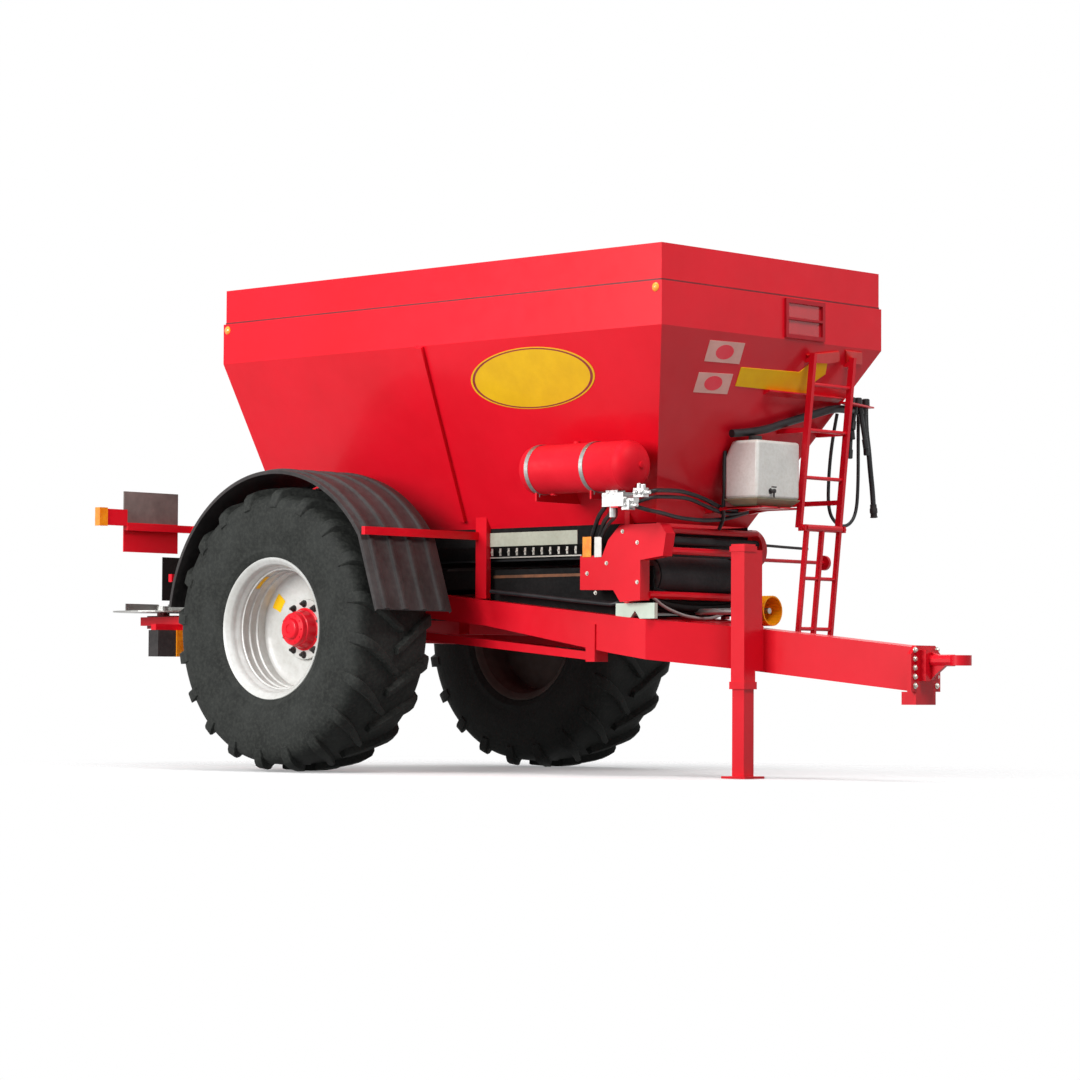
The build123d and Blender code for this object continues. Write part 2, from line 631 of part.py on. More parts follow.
# Conveyor: a belt loop round two drums, between side plates, under skirts that hang from the hopper
BELT_TOP = 1350
BELT_BOTTOM = 1100
BELT_THICKNESS = 12
BELT_HALF_WIDTH = 372
BELT_FRONT_DRUM = 2240
BELT_REAR_DRUM = -1750
DRUM_SHAFT_RADIUS = 28
BELT_PLATE = 14
BELT_PLATE_REACH = 70
BELT_PLATE_LOW = 1165
BELT_PLATE_HIGH = 1285
BELT_PLATE_DEEP = 990
BELT_PLATE_DEEP_REAR = 960
SKIRT_STRIP_LOW = 1430
SKIRT_SHEET = 6
SKIRT_FOOT_HALF_WIDTH = 362
DRUM_Z = (BELT_TOP + BELT_BOTTOM) / 2
BELT_RADIUS = (BELT_TOP - BELT_BOTTOM) / 2
drum_middle = (BELT_FRONT_DRUM + BELT_REAR_DRUM) / 2
drum_spacing = BELT_FRONT_DRUM - BELT_REAR_DRUM
with BuildPart() as belt:
    with BuildSketch(side_plane(0)) as loop:
        with Locations((drum_middle, DRUM_Z)):
            SlotCenterToCenter(drum_spacing, 2 * BELT_RADIUS)
            SlotCenterToCenter(drum_spacing, 2 * (BELT_RADIUS - BELT_THICKNESS), mode=Mode.SUBTRACT)
    extrude(amount=BELT_HALF_WIDTH, both=True)
keep("belt", belt)

with BuildPart() as belt_drums:
    for x in (BELT_FRONT_DRUM, BELT_REAR_DRUM):
        for half_length, radius, sides in (
            (BELT_HALF_WIDTH, BELT_RADIUS - BELT_THICKNESS, HUB_SIDES),
            (beam_inside - BELT_PLATE, DRUM_SHAFT_RADIUS, ROD_SIDES),
        ):
            rod(at(x, -half_length, DRUM_Z), at(x, half_length, DRUM_Z), radius, sides)
keep("belt_drums", belt_drums)

with BuildPart() as belt_plates:
    for sign in (1, -1):
        plate(
            side_plane(sign * (beam_inside - BELT_PLATE / 2)),
            [
                (BELT_REAR_DRUM - 90, BELT_PLATE_LOW),
                (BELT_PLATE_DEEP_REAR - 60, BELT_PLATE_LOW),
                (BELT_PLATE_DEEP_REAR, BELT_PLATE_DEEP),
                (BELT_FRONT_DRUM + BELT_PLATE_REACH, BELT_PLATE_DEEP),
                (BELT_FRONT_DRUM + BELT_PLATE_REACH, BELT_PLATE_HIGH),
                (BELT_REAR_DRUM - 90, BELT_PLATE_HIGH),
            ],
            BELT_PLATE,
        )
keep("belt_plates", belt_plates)

with BuildPart() as belt_skirts:
    for sign in (1, -1):
        middle = sign * (HOPPER_BOTTOM_HALF_WIDTH - SKIRT_SHEET / 2)
        block(
            at(HOPPER_REAR, middle - SKIRT_SHEET / 2, SKIRT_STRIP_LOW),
            at(HOPPER_BOTTOM_FRONT, middle + SKIRT_SHEET / 2, HOPPER_BOTTOM),
        )
keep("belt_skirts", belt_skirts)

# Rubber seals under the skirts, leaning in to the belt
with BuildPart() as belt_seals:
    for sign in (1, -1):
        outer = sign * HOPPER_BOTTOM_HALF_WIDTH
        inner = sign * (HOPPER_BOTTOM_HALF_WIDTH - SKIRT_SHEET)
        foot = sign * SKIRT_FOOT_HALF_WIDTH
        with BuildSketch(cross_plane(HOPPER_REAR)) as seal:
            with BuildLine():
                Polyline(
                    (outer, SKIRT_STRIP_LOW),
                    (foot, BELT_TOP + GAP),
                    (foot - sign * SKIRT_SHEET, BELT_TOP + GAP),
                    (inner, SKIRT_STRIP_LOW),
                    close=True,
                )
            make_face()
        extrude(seal.sketch, amount=HOPPER_BOTTOM_FRONT - HOPPER_REAR)
keep("belt_seals", belt_seals)

# Hopper posts: uprights on the frame beams, cut to the hopper's slope at their tops
POST = 40
# Posts: place from the axle, width along the machine
POSTS = [(-840, 40), (880, 95), (2150, 40)]
with BuildPart() as hopper_posts:
    for sign in (1, -1):
        inner = HOPPER_BOTTOM_HALF_WIDTH
        outer = HOPPER_BOTTOM_HALF_WIDTH + POST
        for x, width in POSTS:
            plate(
                cross_plane(x + width / 2),
                [
                    (sign * inner, beam_top(x)),
                    (sign * outer, beam_top(x)),
                    (sign * outer, HOPPER_BOTTOM + POST / side_slope),
                    (sign * inner, HOPPER_BOTTOM),
                ],
                width,
            )
keep("hopper_posts", hopper_posts)

# Mudguard stays: a bar across the front and one across the back of each shell
STAY_SIZE = 30
STAY_DEPTH = 50
GUARD_REAR_STAY_Z = 1240
ribs_line = guard_line(GUARD_SHEET + GUARD_RIB_HEIGHT)
front_stay_x = line_x(ribs_line, GUARD_STAY_Z - STAY_DEPTH / 2) + STAY_SIZE / 2 + GAP
rear_stay_x = line_x(ribs_line, GUARD_REAR_STAY_Z - STAY_DEPTH / 2, last=True) - STAY_SIZE / 2 - GAP
with BuildPart() as guard_stays:
    for sign in (1, -1):
        post_side = sign * (HOPPER_BOTTOM_HALF_WIDTH + POST)
        foot_y = sign * (FRAME_HALF_WIDTH + BEAM_WIDTH / 2 - STAY_SIZE / 2)
        tip_y = sign * (TRACK / 2 + GUARD_HALF_WIDTH)
        bar(at(front_stay_x, post_side, GUARD_STAY_Z), at(front_stay_x, tip_y, GUARD_STAY_Z), STAY_SIZE, STAY_DEPTH)
        bar(at(rear_stay_x, foot_y, GUARD_REAR_STAY_Z), at(rear_stay_x, tip_y, GUARD_REAR_STAY_Z), STAY_SIZE, STAY_DEPTH)
        foot_z = beam_top(rear_stay_x)
        bar(at(rear_stay_x, foot_y, foot_z), at(rear_stay_x, foot_y, GUARD_REAR_STAY_Z), STAY_SIZE, STAY_SIZE)
keep("guard_stays", guard_stays)

# Axle stays: a bar from the axle to a clamp under each beam
CLAMP_REAR = 1870
CLAMP_FRONT = 1945
CLAMP_SHEET = 12
CLAMP_LOW = 700
CLAMP_HIGH = 930
STAY_BAR_REAR_Z = 900
STAY_BAR_FRONT_Z = 735
beam_outside = FRAME_HALF_WIDTH + BEAM_WIDTH / 2
with BuildPart() as axle_stays:
    for sign in (1, -1):
        half_stay = STAY_DEPTH / 2
        plate(
            side_plane(sign * FRAME_HALF_WIDTH),
            [
                (half_axle, STAY_BAR_REAR_Z + half_stay),
                (CLAMP_REAR, STAY_BAR_FRONT_Z + half_stay),
                (CLAMP_REAR, STAY_BAR_FRONT_Z - half_stay),
                (half_axle, STAY_BAR_REAR_Z - half_stay),
            ],
            BEAM_WIDTH / 2,
        )
        clamp_top = line_x([(z, x) for x, z in frame_side[3:7]], CLAMP_FRONT)
        inner_low = min(sign * beam_inside, sign * beam_outside)
        block(at(CLAMP_REAR, inner_low, CLAMP_LOW), at(CLAMP_FRONT, inner_low + BEAM_WIDTH, clamp_top))
        outer_low = min(sign * beam_outside, sign * (beam_outside + CLAMP_SHEET))
        block(at(CLAMP_REAR, outer_low, CLAMP_LOW), at(CLAMP_FRONT, outer_low + CLAMP_SHEET, CLAMP_HIGH))
keep("axle_stays", axle_stays)

# Belt drive: a cover over the drum's gear on the right, a bearing bracket on the left, tubes between them
COVER_INNER = HOPPER_BOTTOM_HALF_WIDTH + POST
COVER_DEPTH = 85
COVER_OUTLINE = [
    (1861, 1140),
    (1861, 1348),
    (2045, 1348),
    (2091, 1441),
    (2189, 1532),
    (2512, 1532),
    (2560, 1470),
    (2535, 1335),
    (2354, 1313),
    (2354, 1071),
    (2191, 1061),
    (2134, 1135),
]
with BuildPart() as drive_cover:
    plate(side_plane(-COVER_INNER - COVER_DEPTH / 2), COVER_OUTLINE, COVER_DEPTH)
keep("drive_cover", drive_cover)

KNOB_X = 2400
KNOB_Y = 1150
KNOB_Z = 1346
KNOB_RADIUS = 48
KNOB_THICKNESS = 22
KNOB_ROD_RADIUS = 12
BRACKET_DEPTH = 45
bracket_rear = POSTS[-1][0] + POSTS[-1][1]
with BuildPart() as bearing_bracket:
    with BuildSketch(side_plane(HOPPER_BOTTOM_HALF_WIDTH + BRACKET_DEPTH / 2)) as outline:
        with BuildLine():
            Polyline(
                (2470, 1330),
                (2390, 1260),
                (2390, 1080),
                (2300, 1080),
                (bracket_rear, 1165),
                (bracket_rear, 1530),
                (2400, 1530),
            )
            ThreePointArc((2400, 1530), (2478, 1455), (2470, 1330))
        make_face()
    extrude(outline.sketch, amount=BRACKET_DEPTH / 2, both=True)
    # Hand brake spindle: a rod out to the left with a round knob
    knob_root = HOPPER_BOTTOM_HALF_WIDTH + BRACKET_DEPTH / 2
    rod(at(KNOB_X, knob_root, KNOB_Z), at(KNOB_X, KNOB_Y, KNOB_Z), KNOB_ROD_RADIUS)
    rod(at(KNOB_X, KNOB_Y, KNOB_Z), at(KNOB_X, KNOB_Y + KNOB_THICKNESS, KNOB_Z), KNOB_RADIUS, 2 * ROD_SIDES)
keep("bearing_bracket", bearing_bracket)

# Tubes across the front: place from the axle, height, radius
FRONT_TUBES = [(2440, 1500, 20), (2440, 1374, 22), (2345, 1105, 24)]
with BuildPart() as front_tubes:
    for x, z, radius in FRONT_TUBES:
        rod(at(x, -COVER_INNER, z), at(x, HOPPER_BOTTOM_HALF_WIDTH, z), radius)
keep("front_tubes", front_tubes)

# Tensioner blocks: a notched plate on the right beam's top, in front of the last post
BLOCK_REAR = 2105
BLOCK_NOTCH_REAR = 2225
BLOCK_NOTCH_MIDDLE = 2262
BLOCK_NOTCH_FRONT = 2300
BLOCK_FRONT = 2420
BLOCK_TOP = 1055
BLOCK_SHEET = 28
with BuildPart() as tensioner_blocks:
    plate(
        side_plane(-COVER_INNER - BLOCK_SHEET / 2),
        [
            (BLOCK_REAR, beam_top(BLOCK_REAR)),
            (BLOCK_REAR, BLOCK_TOP),
            (BLOCK_FRONT, BLOCK_TOP),
            (BLOCK_FRONT, beam_top(BLOCK_NOTCH_FRONT)),
            (BLOCK_NOTCH_FRONT, beam_top(BLOCK_NOTCH_FRONT)),
            (BLOCK_NOTCH_MIDDLE, (BLOCK_TOP + beam_top(BLOCK_NOTCH_MIDDLE)) / 2),
            (BLOCK_NOTCH_REAR, beam_top(BLOCK_NOTCH_REAR)),
        ],
        BLOCK_SHEET,
    )
keep("tensioner_blocks", tensioner_blocks)

# Air tank on the right side, in two saddles that stand out from the hopper's slope
TANK_RADIUS = 150
TANK_REAR = 1680
TANK_FRONT = 2610
TANK_Y = -840
TANK_Z = 1866
TANK_DOME = 95
STRAP_WIDTH = 30
STRAP_THICKNESS = 5
STRAP_PLACES = [1790, 2240]
SADDLE_THICKNESS = 12


def hopper_side(z):
    """Half the hopper's width at height z on its slope."""
    return HOPPER_BOTTOM_HALF_WIDTH + (z - HOPPER_BOTTOM) * side_slope


def hopper_front(z):
    """The hopper's front, measured from the axle, at height z on its slope."""
    return HOPPER_BOTTOM_FRONT + (z - HOPPER_BOTTOM) * front_slope


TANK_SIDES = 20
tank_end = TANK_FRONT - TANK_REAR
with BuildPart() as air_tank:
    dome = [(0, TANK_RADIUS / 4), (TANK_DOME / 4, TANK_RADIUS * 0.7), (TANK_DOME, TANK_RADIUS)]
    stations = dome + [(tank_end - distance, radius) for distance, radius in reversed(dome)]
    turned(at(TANK_REAR, TANK_Y, TANK_Z), Vector(1, 0, 0), stations, TANK_SIDES)
keep("air_tank", air_tank)

with BuildPart() as tank_straps:
    reach = TANK_RADIUS + STRAP_THICKNESS
    for x in STRAP_PLACES:
        middle = at(x, TANK_Y, TANK_Z)
        turned(middle, Vector(1, 0, 0), [(0, reach), (STRAP_WIDTH, reach)], TANK_SIDES)
    whole = [(0, TANK_RADIUS), (tank_end, TANK_RADIUS)]
    turned(at(TANK_REAR, TANK_Y, TANK_Z), Vector(1, 0, 0), whole, TANK_SIDES, mode=Mode.SUBTRACT)
keep("tank_straps", tank_straps)

VALVE_LOW = at(2330, -880, 1622)
VALVE_HIGH = at(2500, -780, 1705)
with BuildPart() as tank_saddles:
    low_z = TANK_Z - reach - 40
    for x in STRAP_PLACES:
        with BuildSketch(cross_plane(x + STRAP_WIDTH / 2 - SADDLE_THICKNESS / 2)) as saddle:
            with BuildLine():
                Polyline(
                    (-hopper_side(TANK_Z + 60), TANK_Z + 60),
                    (-hopper_side(low_z), low_z),
                    (TANK_Y - 60, low_z),
                    (TANK_Y - 60, TANK_Z),
                    (TANK_Y, TANK_Z + 60),
                    close=True,
                )
            make_face()
        extrude(saddle.sketch, amount=SADDLE_THICKNESS)
    seat = [(0, reach), (tank_end, reach)]
    turned(at(TANK_REAR, TANK_Y, TANK_Z), Vector(1, 0, 0), seat, TANK_SIDES, mode=Mode.SUBTRACT)
    block(
        Vector(VALVE_LOW.X + 70, VALVE_LOW.Y, VALVE_LOW.Z - 8),
        Vector(VALVE_LOW.X + 130, -hopper_side(VALVE_LOW.Z), VALVE_LOW.Z),
    )
keep("tank_saddles", tank_saddles)

with BuildPart() as valve_block:
    block(VALVE_LOW, VALVE_HIGH)
    rod(Vector(VALVE_HIGH.X - 40, -830, 1660), Vector(VALVE_HIGH.X + 60, -830, 1660), 26)
    rod(Vector(VALVE_LOW.X + 40, -830, 1660), Vector(VALVE_LOW.X + 40, -830, 1560), 20)
keep("valve_block", valve_block)

# Hand-washing water tank at the front, between two bracket plates
WATER_REAR = 2650
WATER_FRONT = 2860
WATER_RIGHT = -65
WATER_LEFT = 345
WATER_LOW = 1650
WATER_HIGH = 2050
WATER_BEVEL = 45
BRACKET_SHEET = 6
with BuildPart() as water_tank:
    block(at(WATER_REAR, WATER_RIGHT, WATER_LOW), at(WATER_FRONT, WATER_LEFT, WATER_HIGH))
    bottom_edges = faces().sort_by(Axis.Z)[0].edges()
    chamfer(bottom_edges, WATER_BEVEL)
    fillet(edges().filter_by(Axis.Z), 20)
keep("water_tank", water_tank)

with BuildPart() as water_bracket:
    for y in (WATER_RIGHT - BRACKET_SHEET / 2, WATER_LEFT + BRACKET_SHEET / 2):
        plate(
            side_plane(y),
            [
                (hopper_front(WATER_HIGH - 40), WATER_HIGH - 40),
                (hopper_front(WATER_LOW - 90), WATER_LOW - 90),
                (WATER_REAR + 20, WATER_LOW - 20),
                (WATER_REAR + 60, WATER_LOW + 60),
                (WATER_REAR + 60, WATER_HIGH - 40),
            ],
            BRACKET_SHEET,
        )
    block(
        at(WATER_REAR - 40, WATER_RIGHT, WATER_LOW - 6),
        at(WATER_REAR + 30, WATER_LEFT, WATER_LOW),
    )
keep("water_bracket", water_bracket)

# Ladder at the front left: a fixed upper part and a lower part that folds up in front of it
LADDER_HINGE_Z = 1530
LADDER_HINGE_X = 2866
LADDER_LEAN = 0.105
LADDER_TOP = 2600
LADDER_FOOT = 780
LADDER_STILE = 26
LADDER_PIN_RADIUS = 14
UPPER_RIGHT = 370
UPPER_LEFT = 760
LOWER_RIGHT = 405
LOWER_LEFT = 725
LOWER_OFFSET = 34
RUNG_RADIUS = 12
UPPER_RUNGS = [1840, 2130, 2410]
LOWER_RUNGS = [1220, 910]
LADDER_ARMS = [1700, 2130, 2560]
ARM_DEPTH = 30
HOLDER_Z = 2319
HOLDER_SHEET = 10
HOLDER_OUTLINE = [(2905, 750), (2905, 790), (2780, 1190), (2705, 1190), (2705, 1060), (2850, 750)]


def ladder_x(z):
    """The upper ladder's place from the axle at height z."""
    return LADDER_HINGE_X - LOWER_OFFSET + (z - LADDER_HINGE_Z) * LADDER_LEAN


with BuildPart() as ladder_upper:
    for y in (UPPER_RIGHT, UPPER_LEFT):
        bar(at(ladder_x(LADDER_HINGE_Z), y, LADDER_HINGE_Z), at(ladder_x(LADDER_TOP), y, LADDER_TOP), LADDER_STILE, 40)
        for z in LADDER_ARMS:
            low = z - ARM_DEPTH / 2
            high = z + ARM_DEPTH / 2
            arm = [(hopper_front(low), low), (hopper_front(high), high), (ladder_x(z), high), (ladder_x(z), low)]
            plate(side_plane(y), arm, LADDER_STILE)
    for z in UPPER_RUNGS:
        rod(at(ladder_x(z), UPPER_RIGHT, z), at(ladder_x(z), UPPER_LEFT, z), RUNG_RADIUS)
    shaft(
        at(LADDER_HINGE_X, UPPER_RIGHT - 20, LADDER_HINGE_Z),
        at(LADDER_HINGE_X, UPPER_LEFT + 20, LADDER_HINGE_Z),
        LADDER_PIN_RADIUS,
    )
    for y in (UPPER_RIGHT, UPPER_LEFT):
        block(
            at(LADDER_HINGE_X - LOWER_OFFSET, y - 8, LADDER_HINGE_Z - 20),
            at(LADDER_HINGE_X + 20, y + 8, LADDER_HINGE_Z + 20),
        )
    # Hose holder: a level plate out to the left of the ladder
    plate(level_plane(HOLDER_Z + HOLDER_SHEET / 2), HOLDER_OUTLINE, HOLDER_SHEET)
keep("ladder_upper", ladder_upper)

with BuildPart() as ladder_lower:
    foot_x = LADDER_HINGE_X - (LADDER_HINGE_Z - LADDER_FOOT) * LADDER_LEAN
    for y in (LOWER_RIGHT, (LOWER_RIGHT + LOWER_LEFT) / 2 - 10, LOWER_LEFT):
        bar(at(LADDER_HINGE_X, y, LADDER_HINGE_Z), at(foot_x, y, LADDER_FOOT), 22, 30)
    for z in LOWER_RUNGS:
        rung_x = LADDER_HINGE_X - (LADDER_HINGE_Z - z) * LADDER_LEAN
        rod(at(rung_x, LOWER_RIGHT, z), at(rung_x, LOWER_LEFT, z), RUNG_RADIUS)
    rod(
        at(LADDER_HINGE_X, LOWER_RIGHT - 15, LADDER_HINGE_Z),
        at(LADDER_HINGE_X, LOWER_LEFT + 15, LADDER_HINGE_Z),
        LADDER_PIN_RADIUS + 8,
    )
    shaft(
        at(LADDER_HINGE_X, LOWER_RIGHT - 60, LADDER_HINGE_Z),
        at(LADDER_HINGE_X, LOWER_LEFT + 60, LADDER_HINGE_Z),
        LADDER_PIN_RADIUS + SPINDLE_FIT,
        mode=Mode.SUBTRACT,
    )
keep("ladder_lower", ladder_lower)

# Drive shaft: from the power take-off over the axle to the spreading unit
SHAFT_Z = 1010
SHAFT_RADIUS = 20
STUB_RADIUS = 17.5
STUB_FRONT = 2905
GUARD_TUBE_REAR = 2745
GUARD_TUBE_FRONT = 2930
GUARD_TUBE_SHEET = 8
GUARD_TUBE_RADIUS = 92
BEARING_HALF = 55
with BuildPart() as pto_bearing:
    plate(
        side_plane(0),
        [
            (GUARD_TUBE_REAR - 60, beam_top(GUARD_TUBE_REAR - 60)),
            (GUARD_TUBE_REAR, beam_top(GUARD_TUBE_REAR)),
            (GUARD_TUBE_REAR, SHAFT_Z + BEARING_HALF),
            (GUARD_TUBE_REAR - 60, SHAFT_Z + BEARING_HALF),
        ],
        2 * BEARING_HALF,
    )
    shaft(
        at(GUARD_TUBE_REAR - 80, 0, SHAFT_Z),
        at(GUARD_TUBE_REAR + 20, 0, SHAFT_Z),
        SHAFT_RADIUS + SPINDLE_FIT,
        mode=Mode.SUBTRACT,
    )
keep("pto_bearing", pto_bearing)

with BuildPart() as pto_guard:
    guard_root = at(GUARD_TUBE_REAR, 0, SHAFT_Z)
    guard_length = GUARD_TUBE_FRONT - GUARD_TUBE_REAR
    inside = GUARD_TUBE_RADIUS - GUARD_TUBE_SHEET
    hole = SHAFT_RADIUS + 12
    forward = Vector(1, 0, 0)
    turned(guard_root, forward, [(0, GUARD_TUBE_RADIUS), (guard_length, GUARD_TUBE_RADIUS)], HUB_SIDES)
    turned(guard_root, forward, [(GUARD_TUBE_SHEET, inside), (guard_length + 1, inside)], HUB_SIDES, mode=Mode.SUBTRACT)
    turned(guard_root, forward, [(-1, hole), (guard_length, hole)], ROD_SIDES, mode=Mode.SUBTRACT)
keep("pto_guard", pto_guard)

# Spreading unit: a gearbox beam on two arms, with two discs above it that turn against each other
DISC_Y = 400
DISC_RADIUS = 350
DISC_X = DISC_RADIUS - REAR_REACH
DISC_Z = 1052
DISC_THICKNESS = 8
DISC_SIDES = 36
VANE_COUNT = 4
VANE_HEIGHT = 48
VANE_THICKNESS = 8
DISC_HUB_RADIUS = 60
DISC_SHAFT_RADIUS = 24
BOX_LOW = 940
BOX_HIGH = 1030
BOX_HALF_DEPTH = 150
ARM_THICKNESS = 60
LAMP_X = -1780
LAMP_LOW = 740
LAMP_HIGH = 920
LAMP_INNER = 500
LAMP_SPLIT = 720
LAMP_OUTER = 880
with BuildPart() as spinner_gearbox:
    box_end = FRAME_HALF_WIDTH - ARM_THICKNESS / 2
    block(at(DISC_X - BOX_HALF_DEPTH, -box_end, BOX_LOW), at(DISC_X + BOX_HALF_DEPTH, box_end, BOX_HIGH))
    for sign in (1, -1):
        box_top = at(DISC_X, sign * DISC_Y, BOX_HIGH)
        rod(box_top, at(DISC_X, sign * DISC_Y, DISC_Z - 2), DISC_HUB_RADIUS * 0.75)
        shaft(box_top, at(DISC_X, sign * DISC_Y, DISC_Z + DISC_THICKNESS + 30), DISC_SHAFT_RADIUS)
    shaft(
        at(DISC_X + BOX_HALF_DEPTH - 60, 0, SHAFT_Z),
        at(DISC_X + BOX_HALF_DEPTH + 60, 0, SHAFT_Z),
        SHAFT_RADIUS + SPINDLE_FIT,
        mode=Mode.SUBTRACT,
    )
keep("spinner_gearbox", spinner_gearbox)

with BuildPart() as drive_shaft:
    shaft(at(DISC_X + BOX_HALF_DEPTH - 50, 0, SHAFT_Z), at(GUARD_TUBE_REAR, 0, SHAFT_Z), SHAFT_RADIUS)
    shaft(at(GUARD_TUBE_REAR, 0, SHAFT_Z), at(STUB_FRONT, 0, SHAFT_Z), STUB_RADIUS)
keep("drive_shaft", drive_shaft)

with BuildPart() as spinner_arms:
    for sign in (1, -1):
        plate(
            side_plane(sign * FRAME_HALF_WIDTH),
            [
                (BEAM_REAR, beam_top(0)),
                (BEAM_REAR, BOX_LOW + 20),
                (DISC_X - BOX_HALF_DEPTH, BOX_LOW + 20),
                (DISC_X - BOX_HALF_DEPTH, BOX_HIGH - 10),
                (BEAM_REAR - 140, BOX_HIGH - 10),
                (BEAM_REAR - 100, beam_top(0)),
            ],
            ARM_THICKNESS,
        )
    block(at(LAMP_X - 25, -LAMP_OUTER, LAMP_HIGH), at(LAMP_X + 25, LAMP_OUTER, BOX_LOW + 20))
keep("spinner_arms", spinner_arms)

for side, sign in (("left", 1), ("right", -1)):
    with BuildPart() as disc:
        with BuildSketch(Plane(origin=at(DISC_X, sign * DISC_Y, DISC_Z))):
            RegularPolygon(DISC_RADIUS, DISC_SIDES)
            Circle(DISC_SHAFT_RADIUS + SPINDLE_FIT, mode=Mode.SUBTRACT)
        extrude(amount=DISC_THICKNESS)
        with BuildSketch(Plane(origin=at(DISC_X, sign * DISC_Y, DISC_Z + DISC_THICKNESS))):
            RegularPolygon(DISC_HUB_RADIUS, HUB_SIDES)
            Circle(DISC_SHAFT_RADIUS + SPINDLE_FIT, mode=Mode.SUBTRACT)
        extrude(amount=36)
        with BuildSketch(Plane(origin=at(DISC_X, sign * DISC_Y, DISC_Z + DISC_THICKNESS))) as vanes:
            with PolarLocations((DISC_RADIUS + DISC_HUB_RADIUS) / 2 - 8, VANE_COUNT):
                Rectangle(DISC_RADIUS - DISC_HUB_RADIUS, VANE_THICKNESS)
        extrude(vanes.sketch, amount=VANE_HEIGHT)
    keep(f"disc_{side}", disc)

# Rear shields and boards: rubber curtains ahead of the discs, and a frame with a red panel on each side
CURTAIN_X = BEAM_REAR - 190
CURTAIN_TOP = 1420
CURTAIN_FOOT = DISC_Z + VANE_HEIGHT + DISC_THICKNESS + 15
BOARD_ARM_Y = 441
BOARD_ARM_WIDTH = 30
BOARD_BAR_Z = 1620
BOARD_X = -1900
BOARD_OUTER = 1030
BOARD_INNER = 550
BOARD_LOW = 1450
BOARD_MIDDLE = 1650
BOARD_HIGH = 1862
BOARD_SHEET = 10
MARKER_REACH = 1280
MARKER_LENGTH = 70
MARKER_LOW = 1618
MARKER_HIGH = 1742
MARKER_ARM_LOW = 1625
MARKER_ARM_HIGH = 1735
with BuildPart() as curtains:
    for sign in (1, -1):
        low = min(sign * 430, sign * 750)
        block(at(CURTAIN_X - 8, low, CURTAIN_FOOT), at(CURTAIN_X, low + 320, CURTAIN_TOP))
keep("curtains", curtains)

with BuildPart() as board_frame:
    for sign in (1, -1):
        right = sign * BOARD_ARM_Y - BOARD_ARM_WIDTH / 2
        left = sign * BOARD_ARM_Y + BOARD_ARM_WIDTH / 2
        block(at(BOARD_X + 20, right, BOARD_BAR_Z - 25), at(HOPPER_REAR, left, BOARD_BAR_Z + 25))
        block(at(CURTAIN_X, right, CURTAIN_TOP - 60), at(CURTAIN_X + 30, left, BOARD_BAR_Z - 25))
    block(at(BOARD_X - 20, -BOARD_OUTER, BOARD_BAR_Z - 25), at(BOARD_X + 20, BOARD_OUTER, BOARD_BAR_Z + 25))
    for sign in (1, -1):
        low = min(sign * BOARD_INNER, sign * BOARD_OUTER)
        block(
            at(BOARD_X - 20 - BOARD_SHEET, low, BOARD_LOW),
            at(BOARD_X - 20, low + BOARD_OUTER - BOARD_INNER, BOARD_MIDDLE),
        )
        arm_length = MARKER_REACH - MARKER_LENGTH - BOARD_OUTER
        arm_low = min(sign * BOARD_OUTER, sign * (BOARD_OUTER + arm_length))
        block(at(BOARD_X - 15, arm_low, MARKER_ARM_LOW), at(BOARD_X + 15, arm_low + arm_length, MARKER_ARM_HIGH))
keep("board_frame", board_frame)

# Pale panels above the red ones
with BuildPart() as marker_panels:
    for sign in (1, -1):
        low = min(sign * BOARD_INNER, sign * BOARD_OUTER)
        width = BOARD_OUTER - BOARD_INNER
        block(
            at(BOARD_X - 20 - BOARD_SHEET, low, BOARD_MIDDLE),
            at(BOARD_X - 20, low + width, BOARD_HIGH),
        )
keep("marker_panels", marker_panels)

# Tail lamps: a housing and a lens on each side of the bar under the arms, and amber markers on the arms
with BuildPart() as lamp_housings:
    for sign in (1, -1):
        low = min(sign * LAMP_SPLIT, sign * LAMP_OUTER)
        width = LAMP_OUTER - LAMP_SPLIT
        block(at(LAMP_X - 50, low, LAMP_LOW), at(LAMP_X + 50, low + width, LAMP_HIGH))
keep("lamp_housings", lamp_housings)

with BuildPart() as lamp_lenses:
    for sign in (1, -1):
        low = min(sign * LAMP_SPLIT, sign * LAMP_INNER)
        width = LAMP_SPLIT - LAMP_INNER
        block(at(LAMP_X - 60, low, LAMP_LOW), at(LAMP_X + 60, low + width, LAMP_HIGH))
        low = min(sign * MARKER_REACH, sign * (MARKER_REACH - MARKER_LENGTH))
        block(at(BOARD_X - 25, low, MARKER_LOW), at(BOARD_X + 25, low + MARKER_LENGTH, MARKER_HIGH))
keep("lamp_lenses", lamp_lenses)

# Metering gate at the belt's outlet: a plate that slides up between two guides on the rear wall
GATE_HALF_WIDTH = 396
GATE_LOW = 1370
GATE_HIGH = 1800
GATE_SHEET = 6
GATE_CLEARANCE = 0.5
GATE_ROD_RADIUS = 9
GUIDE_WIDTH = 20
GATE_TRAVEL = 200
gate_front = HOPPER_REAR - GATE_CLEARANCE
with BuildPart() as rear_gate:
    block(at(gate_front - GATE_SHEET, -GATE_HALF_WIDTH, GATE_LOW), at(gate_front, GATE_HALF_WIDTH, GATE_HIGH))
    rod_x = gate_front - GATE_SHEET - GATE_ROD_RADIUS / 2
    rod(at(rod_x, 0, GATE_HIGH - 60), at(rod_x, 0, GATE_HIGH + 90), GATE_ROD_RADIUS)
    block(at(rod_x, -20, GATE_HIGH - 60), at(gate_front, 20, GATE_HIGH))
keep("rear_gate", rear_gate)

